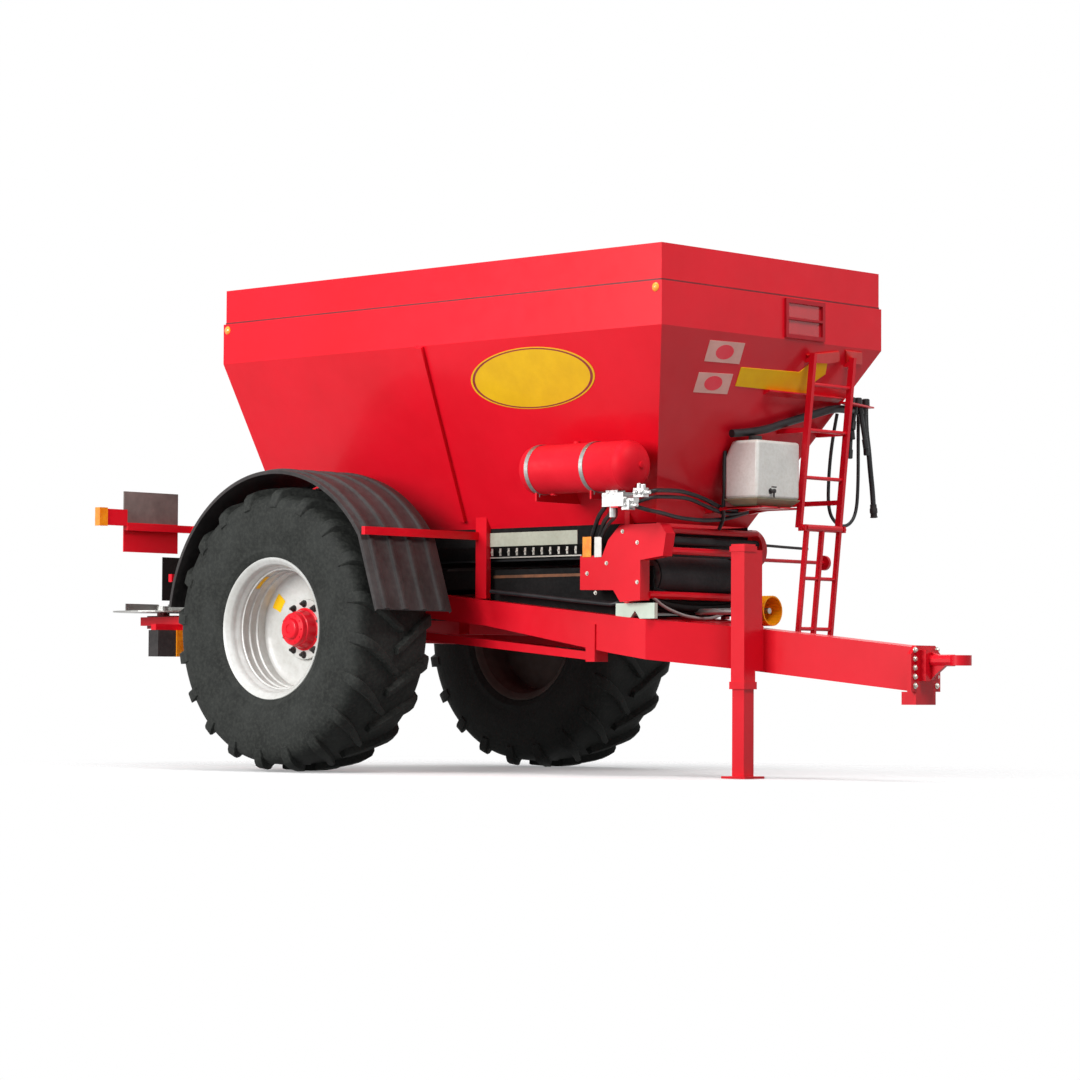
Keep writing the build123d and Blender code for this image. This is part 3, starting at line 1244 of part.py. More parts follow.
guide_top = GATE_HIGH + GATE_TRAVEL + 40
with BuildPart() as gate_guides:
    lip_rear = gate_front - GATE_SHEET - GATE_CLEARANCE - GATE_SHEET
    for sign in (1, -1):
        edge = GATE_HALF_WIDTH + GATE_CLEARANCE
        post_low = min(sign * edge, sign * (edge + GUIDE_WIDTH))
        block(at(lip_rear, post_low, HOPPER_BOTTOM), at(HOPPER_REAR, post_low + GUIDE_WIDTH, guide_top))
        lip_low = min(sign * (edge - GUIDE_WIDTH), sign * edge)
        block(at(lip_rear, lip_low, HOPPER_BOTTOM), at(lip_rear + GATE_SHEET, lip_low + GUIDE_WIDTH, guide_top))
keep("gate_guides", gate_guides)

# Hoses: a thick trunk clipped along the front, a loop that hangs from it and a tail with a coupling
TRUNK_RADIUS = 25
LOOP_RADIUS = 11
TAIL_RADIUS = 17
ARC_SHARE = 0.45
HOSE_SIDES = 6
HOSE_TOP = HOLDER_Z - GAP
# Routes: x from the axle, y, z
TRUNK_ROUTE = [
    (2695, -110, 2090),
    (2712, 130, 2112),
    (2745, 370, 2186),
    (2775, 560, 2238),
    (2808, 740, HOSE_TOP - TRUNK_RADIUS - 4),
    (2800, 885, HOSE_TOP - TRUNK_RADIUS),
    (2745, 1040, HOSE_TOP - TRUNK_RADIUS),
]
LOOP_ROUTE = [
    (2766, 830, 2266),
    (2738, 818, 2110),
    (2714, 812, 1890),
    (2704, 816, 1660),
    (2705, 899, 1572),
    (2708, 1014, 1563),
    (2712, 1096, 1649),
    (2716, 1108, 1850),
    (2722, 1100, 2085),
    (2722, 1100, HOSE_TOP),
]
TAIL_ROUTE = [
    (2735, 1160, HOSE_TOP),
    (2735, 1160, 2200),
    (2746, 1176, 2060),
    (2742, 1200, 1920),
    (2735, 1232, 1790),
    (2728, 1250, 1690),
]


def hose(name, places, radius):
    """A hose of straight runs joined by arcs, along the given places."""
    route = [at(*place) for place in places]
    runs = [after - before for before, after in zip(route, route[1:])]
    radii = []
    for before, after in zip(runs, runs[1:]):
        half_turn = math.radians(before.get_angle(after)) / 2
        radii.append(ARC_SHARE * min(before.length, after.length) / math.tan(half_turn))
    with BuildPart() as tube:
        with BuildLine() as path:
            line = FilletPolyline(*route, radius=radii)
        with BuildSketch(Plane(origin=line @ 0, z_dir=line % 0)) as section:
            RegularPolygon(radius, HOSE_SIDES)
        sweep(section.sketch, path=line)
    keep(name, tube)
    share = tube.part.volume / (section.sketch.area * line.length)
    print(name, "length", round(line.length), "radii", [round(one) for one in radii], "volume share", round(share, 3))


hose("hose_trunk", TRUNK_ROUTE, TRUNK_RADIUS)
hose("hose_loop", LOOP_ROUTE, LOOP_RADIUS)
hose("hose_tail", TAIL_ROUTE, TAIL_RADIUS)

# Clips that hold the trunk off the hopper's front, a cap on the holder and the tail's coupling
CLIP_WIDTH = 24
CLIP_HALF_HEIGHT = 18
with BuildPart() as hose_clips:
    for first, last in ((0, 1), (2, 3)):
        start = at(*TRUNK_ROUTE[first])
        end = at(*TRUNK_ROUTE[last])
        middle = (start + end) / 2
        low = middle.Z - CLIP_HALF_HEIGHT
        high = middle.Z + CLIP_HALF_HEIGHT
        reach = middle.X - AXLE_X
        clip = [(hopper_front(low), low), (hopper_front(high), high), (reach, high), (reach, low)]
        plate(side_plane(middle.Y), clip, CLIP_WIDTH)
        shaft(start, end, TRUNK_RADIUS + GAP, mode=Mode.SUBTRACT)
    cap_place = at(TAIL_ROUTE[0][0], TAIL_ROUTE[0][1], HOLDER_Z + HOLDER_SHEET)
    rod(cap_place, cap_place + Vector(0, 0, 2 * TRUNK_RADIUS), TAIL_RADIUS + 5)
    tail_end = at(*TAIL_ROUTE[-1])
    tail_way = (tail_end - at(*TAIL_ROUTE[-2])).normalized()
    rod(tail_end, tail_end + tail_way * 60, TAIL_RADIUS + 5)
keep("hose_clips", hose_clips)
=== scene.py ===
import math

import bpy
from mathutils import Matrix, Vector


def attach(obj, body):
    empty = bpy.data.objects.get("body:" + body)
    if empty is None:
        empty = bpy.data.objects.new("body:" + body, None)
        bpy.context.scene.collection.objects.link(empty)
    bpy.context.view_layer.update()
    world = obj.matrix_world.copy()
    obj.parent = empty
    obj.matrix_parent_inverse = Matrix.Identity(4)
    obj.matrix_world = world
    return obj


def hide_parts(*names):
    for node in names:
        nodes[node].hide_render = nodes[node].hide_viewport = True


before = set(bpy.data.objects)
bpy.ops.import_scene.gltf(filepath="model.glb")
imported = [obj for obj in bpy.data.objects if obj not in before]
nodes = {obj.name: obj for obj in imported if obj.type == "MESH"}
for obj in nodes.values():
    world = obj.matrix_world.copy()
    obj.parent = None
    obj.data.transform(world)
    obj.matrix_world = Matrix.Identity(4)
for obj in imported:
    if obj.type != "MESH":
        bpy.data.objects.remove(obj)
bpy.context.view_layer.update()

# A trailed fertilizer spreader: the looks, the light and the camera around the part's own solids.
# Lengths are in millimetres, with x measured from the axle, as in the part's own source.
AXLE = -0.9015  # the axle's x in the frame, in metres
TRACK = 2300
TYRE_RADIUS = 905
TIP = 0.01  # radius at which a turned profile ends on its axis

FORWARD = (1, 0, 0)
LEFT = (0, 1, 0)
RIGHT = (0, -1, 0)
UP = (0, 0, 1)
DOWN = (0, 0, -1)


def at(x, y, z):
    """A point in the frame's metres from millimetres, with x measured from the axle."""
    return Vector((AXLE + x / 1000, y / 1000, z / 1000))


# Materials

# Sockets of a colour mix node: its two colours and its result
MIX_LOW = 6
MIX_HIGH = 7
MIX_RESULT = 2


def node(tree, kind, **inputs):
    """A shader node with some inputs set. An underscore in a name stands for a space."""
    made = tree.nodes.new(kind)
    for name, value in inputs.items():
        made.inputs[name.replace("_", " ")].default_value = value
    return made


def finish(
    name,
    low,
    high,
    rough,
    scale=2.5,
    metallic=0.0,
    coat=0.0,
    grain=0.0,
    grain_scale=180.0,
    stretch=(1, 1, 1),
    dust=None,
    dust_share=0.0,
    shine=0.5,
):
    """A procedural material: two tones, uneven roughness and, if wanted, fine grain and patches of dust."""
    made = bpy.data.materials.new(name)
    made.use_nodes = True
    tree = made.node_tree
    link = tree.links.new
    shader = tree.nodes["Principled BSDF"]
    shader.inputs["Metallic"].default_value = metallic
    shader.inputs["Coat Weight"].default_value = coat
    shader.inputs["Specular IOR Level"].default_value = shine
    shader.inputs["Coat Roughness"].default_value = 0.12

    place = tree.nodes.new("ShaderNodeTexCoord")
    mapping = node(tree, "ShaderNodeMapping", Scale=stretch)
    link(place.outputs["Object"], mapping.inputs["Vector"])
    tone = node(tree, "ShaderNodeTexNoise", Scale=scale, Detail=5.0, Roughness=0.6)
    link(mapping.outputs["Vector"], tone.inputs["Vector"])
    ramp = tree.nodes.new("ShaderNodeValToRGB")
    for stop, position, colour in zip(ramp.color_ramp.elements, (0.35, 0.68), (low, high)):
        stop.position = position
        stop.color = (*colour, 1)
    link(tone.outputs["Fac"], ramp.inputs["Fac"])
    colour = ramp.outputs["Color"]

    fine = node(tree, "ShaderNodeTexNoise", Scale=scale * 9, Detail=6.0, Roughness=0.65)
    link(mapping.outputs["Vector"], fine.inputs["Vector"])
    if dust is not None:
        patches = node(tree, "ShaderNodeMapRange", From_Min=0.42, From_Max=0.75, To_Max=dust_share)
        link(fine.outputs["Fac"], patches.inputs["Value"])
        mix = tree.nodes.new("ShaderNodeMix")
        mix.data_type = "RGBA"
        link(patches.outputs["Result"], mix.inputs["Factor"])
        link(colour, mix.inputs[MIX_LOW])
        mix.inputs[MIX_HIGH].default_value = (*dust, 1)
        colour = mix.outputs[MIX_RESULT]
    link(colour, shader.inputs["Base Color"])

    spread = node(
        tree,
        "ShaderNodeMapRange",
        From_Min=0.3,
        From_Max=0.7,
        To_Min=rough * 0.85,
        To_Max=min(1.0, rough * 1.2),
    )
    link(fine.outputs["Fac"], spread.inputs["Value"])
    link(spread.outputs["Result"], shader.inputs["Roughness"])
    if grain:
        speck = node(tree, "ShaderNodeTexNoise", Scale=grain_scale, Detail=3.0)
        link(mapping.outputs["Vector"], speck.inputs["Vector"])
        bump = node(tree, "ShaderNodeBump", Strength=grain, Distance=0.002)
        link(speck.outputs["Fac"], bump.inputs["Height"])
        link(bump.outputs["Normal"], shader.inputs["Normal"])
    return made


# Each finish: name, darker tone, lighter tone, roughness, and what differs from the plain case
RED = finish(
    "red_paint_mat", (0.66, 0.004, 0.014), (0.76, 0.006, 0.020), 0.36, scale=1.2, coat=0.10, grain=0.03, shine=0.22
)
DARK_RED = finish(
    "dark_red_mat", (0.20, 0.005, 0.010), (0.30, 0.008, 0.015), 0.5, grain=0.2, dust=(0.2, 0.12, 0.09), dust_share=0.3
)
BRIGHT_RED = finish("bright_red_mat", (0.75, 0.010, 0.008), (0.85, 0.018, 0.012), 0.4, coat=0.2)
DEEP_RED = finish("deep_red_mat", (0.36, 0.003, 0.010), (0.44, 0.004, 0.014), 0.42, scale=3, shine=0.28)
TANK_RED = finish("tank_red_mat", (0.66, 0.009, 0.020), (0.74, 0.014, 0.028), 0.5, scale=3, shine=0.08)
# Painted shadow: a dark red for the line of shade under the hopper's extension step
SHADOW_LINE_PAINT = finish("shadow_line_mat", (0.10, 0.002, 0.005), (0.16, 0.004, 0.008), 0.6)
TYRE = finish(
    "tyre_mat",
    (0.010, 0.011, 0.010),
    (0.024, 0.026, 0.024),
    0.72,
    scale=5,
    grain=0.35,
    grain_scale=90,
    dust=(0.066, 0.069, 0.062),
    dust_share=0.55,
    shine=0.18,
)
RIM = finish(
    "rim_mat",
    (0.52, 0.52, 0.49),
    (0.66, 0.66, 0.64),
    0.38,
    coat=0.15,
    grain=0.05,
    dust=(0.25, 0.22, 0.17),
    dust_share=0.25,
)
# Painted shade: a dark finish for the rims' inboard faces, which lie in the shade under the machine
RIM_INBOARD_SHADE = finish(
    "rim_inboard_shade_mat", (0.08, 0.065, 0.055), (0.13, 0.11, 0.095), 0.6, scale=6, grain=0.2, shine=0.2
)
BLACK = finish(
    "black_plastic_mat",
    (0.022, 0.020, 0.020),
    (0.045, 0.040, 0.040),
    0.5,
    scale=3,
    grain=0.12,
    dust=(0.09, 0.08, 0.075),
    dust_share=0.35,
    shine=0.2,
)
# Near-black, darker than the rubber: the parts' own black deepened with painted shade, for the belt's inner parts and
# the lines under the front drum
PIT = finish(
    "deep_black_mat", (0.004, 0.004, 0.004), (0.009, 0.008, 0.008), 0.8, scale=6, grain=0.2, shine=0.15
)
RUBBER = finish("rubber_mat", (0.010, 0.010, 0.011), (0.022, 0.022, 0.023), 0.6, scale=6, grain=0.2, shine=0.2)
HOSE = finish(
    "hose_mat", (0.012, 0.012, 0.013), (0.025, 0.025, 0.027), 0.42, scale=9, grain=0.15, grain_scale=260, shine=0.3
)
GREY_HOSE = finish("grey_hose_mat", (0.30, 0.29, 0.28), (0.40, 0.39, 0.37), 0.5, scale=9, grain=0.15)
STEEL = finish(
    "steel_mat", (0.30, 0.30, 0.29), (0.44, 0.44, 0.42), 0.38, scale=6, metallic=0.9, grain=0.15, stretch=(1, 1, 4)
)
ZINC = finish("zinc_mat", (0.50, 0.49, 0.44), (0.66, 0.64, 0.58), 0.36, scale=30, metallic=0.8, grain=0.1)
ALUMINIUM = finish("aluminium_mat", (0.50, 0.50, 0.49), (0.66, 0.66, 0.65), 0.32, scale=20, metallic=0.85, grain=0.25)
BRASS = finish("brass_mat", (0.50, 0.34, 0.12), (0.62, 0.44, 0.18), 0.35, scale=20, metallic=0.9)
BROWN = finish("rusty_mat", (0.10, 0.035, 0.012), (0.20, 0.07, 0.025), 0.7, scale=14, grain=0.3)
STRIP = finish(
    "grey_strip_mat",
    (0.36, 0.38, 0.30),
    (0.46, 0.48, 0.39),
    0.45,
    scale=4,
    grain=0.08,
    dust=(0.25, 0.2, 0.14),
    dust_share=0.3,
)
PANEL = finish("panel_mat", (0.13, 0.11, 0.10), (0.20, 0.17, 0.155), 0.5, scale=8, grain=0.1)
WHITE = finish(
    "white_plastic_mat",
    (0.70, 0.69, 0.65),
    (0.80, 0.79, 0.74),
    0.4,
    scale=5,
    coat=0.1,
    grain=0.05,
    dust=(0.45, 0.40, 0.30),
    dust_share=0.3,
)
# Painted shade: a tan tone for the water tank's slanted bottom, which lies in shade
TAN_SHADE = finish("tan_shade_mat", (0.24, 0.20, 0.12), (0.32, 0.28, 0.18), 0.5, scale=8, grain=0.1)
GREEN_PALE = finish("pale_green_mat", (0.50, 0.58, 0.48), (0.60, 0.67, 0.57), 0.45, scale=8, grain=0.1)
YELLOW = finish("yellow_mat", (0.68, 0.38, 0.004), (0.78, 0.46, 0.006), 0.45, scale=5, coat=0.1, grain=0.05, shine=0.3)
BRIGHT_YELLOW = finish(
    "bright_yellow_mat", (0.92, 0.48, 0.002), (1.0, 0.58, 0.004), 0.5, scale=5, grain=0.05, shine=0.25
)
ORANGE = finish("orange_mat", (0.85, 0.30, 0.002), (0.95, 0.38, 0.004), 0.45, scale=5, grain=0.05, shine=0.3)
PALE = finish("pale_plate_mat", (0.80, 0.42, 0.36), (0.92, 0.52, 0.45), 0.5, scale=7, shine=0.2)
PINK = finish("pink_plate_mat", (1.0, 0.06, 0.09), (1.0, 0.10, 0.13), 0.5, scale=7, shine=0.2)
AMBER = finish(
    "amber_mat", (0.80, 0.22, 0.005), (0.95, 0.36, 0.010), 0.18, scale=20, coat=0.6, grain=0.5, grain_scale=300
)
RED_LENS = finish(
    "red_lens_mat", (0.62, 0.02, 0.008), (0.80, 0.05, 0.015), 0.18, scale=20, coat=0.6, grain=0.5, grain_scale=300
)
GLASS = finish("clear_mat", (0.60, 0.012, 0.022), (0.70, 0.022, 0.035), 0.15, scale=3, coat=0.3)
GLASS.node_tree.nodes["Principled BSDF"].inputs["Transmission Weight"].default_value = 0.25

# The nodes that aren't painted red
NODE_FINISHES = [
    (TYRE, "tyre_left tyre_right"),
    (RIM, "rim_left rim_right"),
    (DARK_RED, "spinner_gearbox"),
    (BLACK, "mudguard_left mudguard_right lamp_housings hose_clips"),
    (RUBBER, "belt"),
    # The belt's inner parts: their own black with painted shade
    (PIT, "belt_plates belt_skirts belt_seals curtains"),
    (DEEP_RED, "window_frame"),
    (HOSE, "hose_trunk hose_loop hose_tail"),
    (STEEL, "belt_drums tank_straps drive_shaft disc_left disc_right rear_gate"),
    (GREEN_PALE, "tensioner_blocks"),
    (PANEL, "marker_panels"),
    (WHITE, "water_tank"),
    (ORANGE, "pto_guard"),
    (GLASS, "window_pane"),
    (AMBER, "lamp_lenses"),
    (ALUMINIUM, "valve_block"),
]
chosen = {name: material for material, names in NODE_FINISHES for name in names.split()}
for name, cad in nodes.items():
    cad.data.materials.clear()
    cad.data.materials.append(chosen.get(name, RED))
    for face in cad.data.polygons:
        face.use_smooth = False

# Mesh helpers

SHARP_ANGLE = math.radians(38)


def piece(name, verts, faces, material, body="carriage", smooth=True, slot=None, bevel=0.0):
    """A mesh piece that rides on a body. Its vertices are in the frame's metres."""
    mesh = bpy.data.meshes.new(name)
    mesh.from_pydata([tuple(v) for v in verts], [], faces)
    mesh.materials.append(material)
    mesh.update()
    made = bpy.data.objects.new(name, mesh)
    bpy.context.scene.collection.objects.link(made)
    for face in mesh.polygons:
        face.use_smooth = smooth
    if bevel:
        edge = made.modifiers.new("bevel", "BEVEL")
        edge.width = bevel / 1000
        edge.segments = 2
        edge.limit_method = "ANGLE"
    if smooth:
        mesh.set_sharp_from_angle(angle=SHARP_ANGLE)
    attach(made, body)
    return made


class Shape:
    """Collects the vertices and faces of one piece."""

    def __init__(self):
        self.verts = []
        self.faces = []

    def grid(self, rows, close_u=False, close_v=False):
        """Rows of points joined into quads."""
        first = len(self.verts)
        wide = len(rows[0])
        for row in rows:
            self.verts += row
        for i in range(len(rows) if close_u else len(rows) - 1):
            for j in range(wide if close_v else wide - 1):
                a = first + i * wide + j
                b = first + i * wide + (j + 1) % wide
                c = first + (i + 1) % len(rows) * wide + (j + 1) % wide
                d = first + (i + 1) % len(rows) * wide + j
                self.faces.append((a, b, c, d))

    def close_ends(self, rows):
        """Closes the first and the last row of the grid that was added last."""
        count = len(rows[0])
        first = len(self.verts) - count * len(rows)
        self.faces.append(tuple(first + i for i in range(count)))
        self.faces.append(tuple(len(self.verts) - 1 - i for i in range(count)))

    def prism(self, outline, shift):
        """A flat outline pushed along a shift, with both ends closed."""
        first = len(self.verts)
        count = len(outline)
        self.verts += list(outline) + [p + shift for p in outline]
        self.faces.append(tuple(first + i for i in reversed(range(count))))
        self.faces.append(tuple(first + count + i for i in range(count)))
        for i in range(count):
            j = (i + 1) % count
            self.faces.append((first + i, first + j, first + count + j, first + count + i))

    def box(self, low, high):
        """A block between two corners."""
        corners = [(low.x, low.y), (high.x, low.y), (high.x, high.y), (low.x, high.y)]
        self.prism([Vector((x, y, low.z)) for x, y in corners], Vector((0, 0, high.z - low.z)))

    def lathe(self, centre, axis, profile, steps, closed=False):
        """A profile of (along, radius) pairs turned round an axis."""
        axis = Vector(axis).normalized()
        side = axis.orthogonal().normalized()
        other = axis.cross(side)
        rows = []
        for step in range(steps):
            turn = 2 * math.pi * step / steps
            out = side * math.cos(turn) + other * math.sin(turn)
            rows.append([centre + axis * (along / 1000) + out * (radius / 1000) for along, radius in profile])
        self.grid(rows, close_u=True, close_v=closed)

    def bolt(self, place, axis, radius, height=None):
        """A washer with a hexagon head on it."""
        high = height or radius * 1.3
        washer_top = radius * 0.3
        washer = [(0, TIP), (0, radius * 1.6), (washer_top, radius * 1.6), (washer_top, TIP)]
        self.lathe(place, axis, washer, 16)
        head = [
            (washer_top, TIP),
            (washer_top, radius * 1.12),
            (high * 0.85, radius * 1.12),
            (high, radius * 0.95),
            (high, TIP),
        ]
        self.lathe(place, axis, head, 6)

    def pipe(self, points, radius, sides=12):
        """A round section carried along a line of points."""
        rows = []
        side = None
        for i, point in enumerate(points):
            before = points[max(i - 1, 0)]
            after = points[min(i + 1, len(points) - 1)]
            along = (after - before).normalized()
            side = (side - along * side.dot(along)).normalized() if side else along.orthogonal().normalized()
            other = along.cross(side)
            ring = []
            for step in range(sides):
                turn = 2 * math.pi * step / sides
                ring.append(point + (side * math.cos(turn) + other * math.sin(turn)) * (radius / 1000))
            rows.append(ring)
        self.grid(rows, close_v=True)
        first = len(self.verts) - sides * len(points)
        self.faces.append(tuple(first + i for i in reversed(range(sides))))
        last = len(self.verts) - sides
        self.faces.append(tuple(last + i for i in range(sides)))

    def make(self, name, material, body="carriage", **options):
        """The finished piece from all that was collected."""
        return piece(name, self.verts, self.faces, material, body, **options)


def curve_points(points, radius=60, steps=6):
    """A line of points with its corners rounded, for pipes that are fixed to the machine."""
    line = [points[0]]
    for before, corner, after in zip(points, points[1:], points[2:]):
        reach = min(radius / 1000, (corner - before).length * 0.45, (after - corner).length * 0.45)
        a = corner + (before - corner).normalized() * reach
        b = corner + (after - corner).normalized() * reach
        for step in range(steps + 1):
            t = step / steps
            line.append(a * (1 - t) ** 2 + corner * 2 * t * (1 - t) + b * t**2)
    line.append(points[-1])
    return line


# Wheels

# The tyre's section: distance from the middle, radius
TYRE_SECTION = [
    (250, 426), (262, 440), (276, 452), (283, 470), (296, 486), (299, 496), (297, 510), (306, 540), (316, 590),
    (321, 640), (323, 690), (321, 735), (316, 775), (306, 805), (290, 828), (262, 846), (215, 856), (150, 861),
    (75, 863), (0, 864),
]
TREAD_SECTION = TYRE_SECTION[12:]
TYRE_STEPS = 144
LUG_COUNT = 20
# A lug's spine: distance across the tyre, distance round it, top radius, half width at its top
LUG_SPINE = [
    (-16, 4, 905, 17), (30, -22, 905, 21), (75, -60, 905, 24), (130, -104, 904, 27), (190, -142, 901, 30),
    (245, -170, 893, 33), (285, -188, 878, 35), (308, -196, 850, 35), (320, -200, 812, 32), (326, -203, 770, 26),
]
LUG_ARC = 860  # radius at which distances round the tyre are measured
LUG_ROOT = 10  # how deep a lug stands in the tread
SIDE_WALL = 312  # distance across from which a lug stands on the side wall
SIDE_FOOT = 800  # the highest radius of its foot there
SINK_START = 300  # distance across from which its foot is pushed in
SIDE_SINK = 14

# The rim's section: distance out from the middle of the wheel, radius
RIM_SECTION = [
    (262, 426), (262, 441), (266, 449), (273, 452), (279, 448), (277, 438), (266, 428), (256, 414), (246, 406),
    (222, 402), (206, 398), (196, 388), (176, 385), (172, 377), (160, 377), (156, 384), (118, 383), (112, 374),
    (100, 374), (96, 380), (60, 378), (54, 368), (20, 366), (-12, 372), (-26, 360), (-34, 330), (-38, 290),
    (-32, 250), (-36, 215), (-40, 190), (-40, 141), (-54, 141), (-56, 376), (-150, 384), (-196, 388), (-210, 400),
    (-246, 406), (-266, 428), (-277, 438), (-279, 448), (-273, 452), (-262, 441), (-262, 426),
]
SHADE_START_DEPTH = -0.045  # faces further in than this, in metres, are dark: painted shade on the rim's inboard side
HUB_SECTION = [
    (-120, 51), (-120, 104), (-41, 105), (-40, 188), (-37, 191), (-19, 191), (-16, 188), (-14, 132), (-6, 122),
    (30, 118), (56, 112), (60, 106), (84, 104), (90, 100), (98, 70), (116, 62), (120, 56), (120, 30), (114, 26),
    (114, TIP),
]
RING_SECTION = [(-36, 193), (-17, 193), (-13, 189), (-12, 140), (-16, 134)]
NUT_COUNT = 10
NUT_CIRCLE = 163
NUT_FOOT = -13
NUT_RADIUS = 15
NUT_HEIGHT = 24
STUD_SECTION = [(24, TIP), (24, 9), (36, 9), (38, 7), (38, TIP)]
CAP_BOLT_CIRCLE = 84
CAP_BOLT_FOOT = 90
# Stickers: middle and half width in degrees, then each edge's distance out and radius
STICKERS = [
    (-38, 9, [(122, 381), (154, 381)]),
    (-57, 9, [(-29, 347), (-34, 310), (-33, 270)]),
]
STICKER_STEPS = 8
VALVE_SECTION = [(-6, TIP), (-6, 11), (4, 11), (6, 5), (40, 5), (42, 7), (58, 7), (60, TIP)]


def tread_radius(across):
    """The tyre's radius between its lugs at a distance from its middle."""
    for (y0, r0), (y1, r1) in zip(TREAD_SECTION, TREAD_SECTION[1:]):
        if y1 <= across <= y0:
            return r0 + (r1 - r0) * (y0 - across) / (y0 - y1)
    nearest = TREAD_SECTION[0] if across > TREAD_SECTION[0][0] else TREAD_SECTION[-1]
    return nearest[1]


def add_lug(tyre, spin, half, base):
    """One lug from the tyre's middle down one shoulder. It starts at the angle base."""
    rows = []
    for across, around, top, wide in LUG_SPINE:
        foot = tread_radius(across) - LUG_ROOT if across < SIDE_WALL else min(top - 8, SIDE_FOOT)
        middle = base + around / LUG_ARC
        sink = SIDE_SINK if across > SINK_START else 0
        # One flank, from its foot: distance in, angle from the spine (half width by arc radius), radius
        flank = [
            (sink, (wide + 11) / LUG_ARC, foot),
            (0, (wide + 3) / 880, foot + (top - foot) * 0.7),
            (0, wide / 890, top - 1.5),
            (0, (wide - 5) / 900, top),
        ]
        section = [(across - inward, middle - turn, radius) for inward, turn, radius in flank]
        section += [(across - inward, middle + turn, radius) for inward, turn, radius in reversed(flank)]
        rows.append([spin(half * y, angle, radius) for y, angle, radius in section])
    tyre.grid(rows)
    tyre.close_ends(rows)


def make_wheel(side, sign):
    """The tyre, rim, hub and small pieces of one wheel."""
    body = f"wheel_{side}"
    outward = (0, sign, 0)
    centre = at(0, sign * TRACK / 2, TYRE_RADIUS)

    def spin(across, angle, radius):
        """A point on the wheel: distance out from its middle, angle from the top, radius."""
        return centre + Vector((radius * math.sin(angle), sign * across, radius * math.cos(angle))) / 1000

    tyre = Shape()
    full = TYRE_SECTION + [(-y, r) for y, r in reversed(TYRE_SECTION[:-1])]
    turns = [2 * math.pi * i / TYRE_STEPS for i in range(TYRE_STEPS)]
    tyre.grid([[spin(y, turn, r) for y, r in full] for turn in turns], close_u=True)
    for half in (1, -1):
        # The part's source turns the lugs on the side of +Y by half a pitch
        lead = (half * sign + 1) / 4
        for turn in range(LUG_COUNT):
            add_lug(tyre, spin, half, (turn + lead) * 2 * math.pi / LUG_COUNT)
    made = tyre.make(f"tyre_{side}_tread", TYRE, body, slot="tyre")
    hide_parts(f"tyre_{side}")

    rim = Shape()
    rim.lathe(centre, outward, RIM_SECTION, 120, closed=True)
    made = rim.make(f"rim_{side}_dish", RIM, body, slot="rim")
    # Painted shade: the faces on the rim's inboard side take the dark finish
    made.data.materials.append(RIM_INBOARD_SHADE)
    for face in made.data.polygons:
        if (face.center.y - centre.y) * sign < SHADE_START_DEPTH:
            face.material_index = 1
    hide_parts(f"rim_{side}")

    hub = Shape()
    hub.lathe(centre, outward, HUB_SECTION, 64)
    nuts = Shape()
    for turn in range(NUT_COUNT):
        angle = 2 * math.pi * turn / NUT_COUNT
        nuts.bolt(spin(NUT_FOOT, angle, NUT_CIRCLE), outward, NUT_RADIUS, NUT_HEIGHT)
        nuts.lathe(spin(NUT_FOOT, angle, NUT_CIRCLE), outward, STUD_SECTION, 10)
        between = 2 * math.pi * (turn + 0.5) / NUT_COUNT
        hub.bolt(spin(CAP_BOLT_FOOT, between, CAP_BOLT_CIRCLE), outward, 6)
    made = hub.make(f"hub_{side}_turned", RED, body, slot="red_paint")
    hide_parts(f"hub_{side}")
    nuts.make(f"wheel_{side}_nuts", BLACK, body)
    ring = Shape()
    ring.lathe(centre, outward, RING_SECTION, 80)
    ring.make(f"rim_{side}_ring", RIM, body)

    stickers = Shape()
    for angle, wide, strip in STICKERS:
        turns = [math.radians(angle - wide + 2 * wide * step / STICKER_STEPS) for step in range(STICKER_STEPS + 1)]
        stickers.grid([[spin(across, turn, radius) for across, radius in strip] for turn in turns])
    stickers.make(f"rim_{side}_stickers", BRIGHT_YELLOW, body, smooth=False)

    valve = Shape()
    valve.lathe(spin(-30, math.radians(70), 345), outward, VALVE_SECTION, 12)
    valve.make(f"valve_{side}", BRASS, body)


for side, sign in (("left", 1), ("right", -1)):
    make_wheel(side, sign)

# Mudguards

GUARD_RADIUS = 980
GUARD_MIDDLE_X = 50
GUARD_MIDDLE_Z = 915
GUARD_START = 35  # degrees up from the front
GUARD_END = 172
GUARD_STEPS = 72
GUARD_RIBS = (-244, -81, 81, 244)
GUARD_FLAP = [(1010, 1010), (960, 1158), (908, 1312)]  # x and z of the straight front, from its foot


def guard_section():
    """The shell's section: distance across from the wheel's middle, height over the sheet's underside."""
    flank = [(31, 9), (25, 12), (21, 19), (16, 22)]
    section = [(-325, -14), (-325, 7), (-321, 10)]
    for rib in GUARD_RIBS:
        section += [(rib - y, h) for y, h in flank] + [(rib + y, h) for y, h in reversed(flank)]
    return section + [(321, 10), (325, 7), (325, -14), (320, -14), (319, 2), (-319, 2), (-320, -14)]


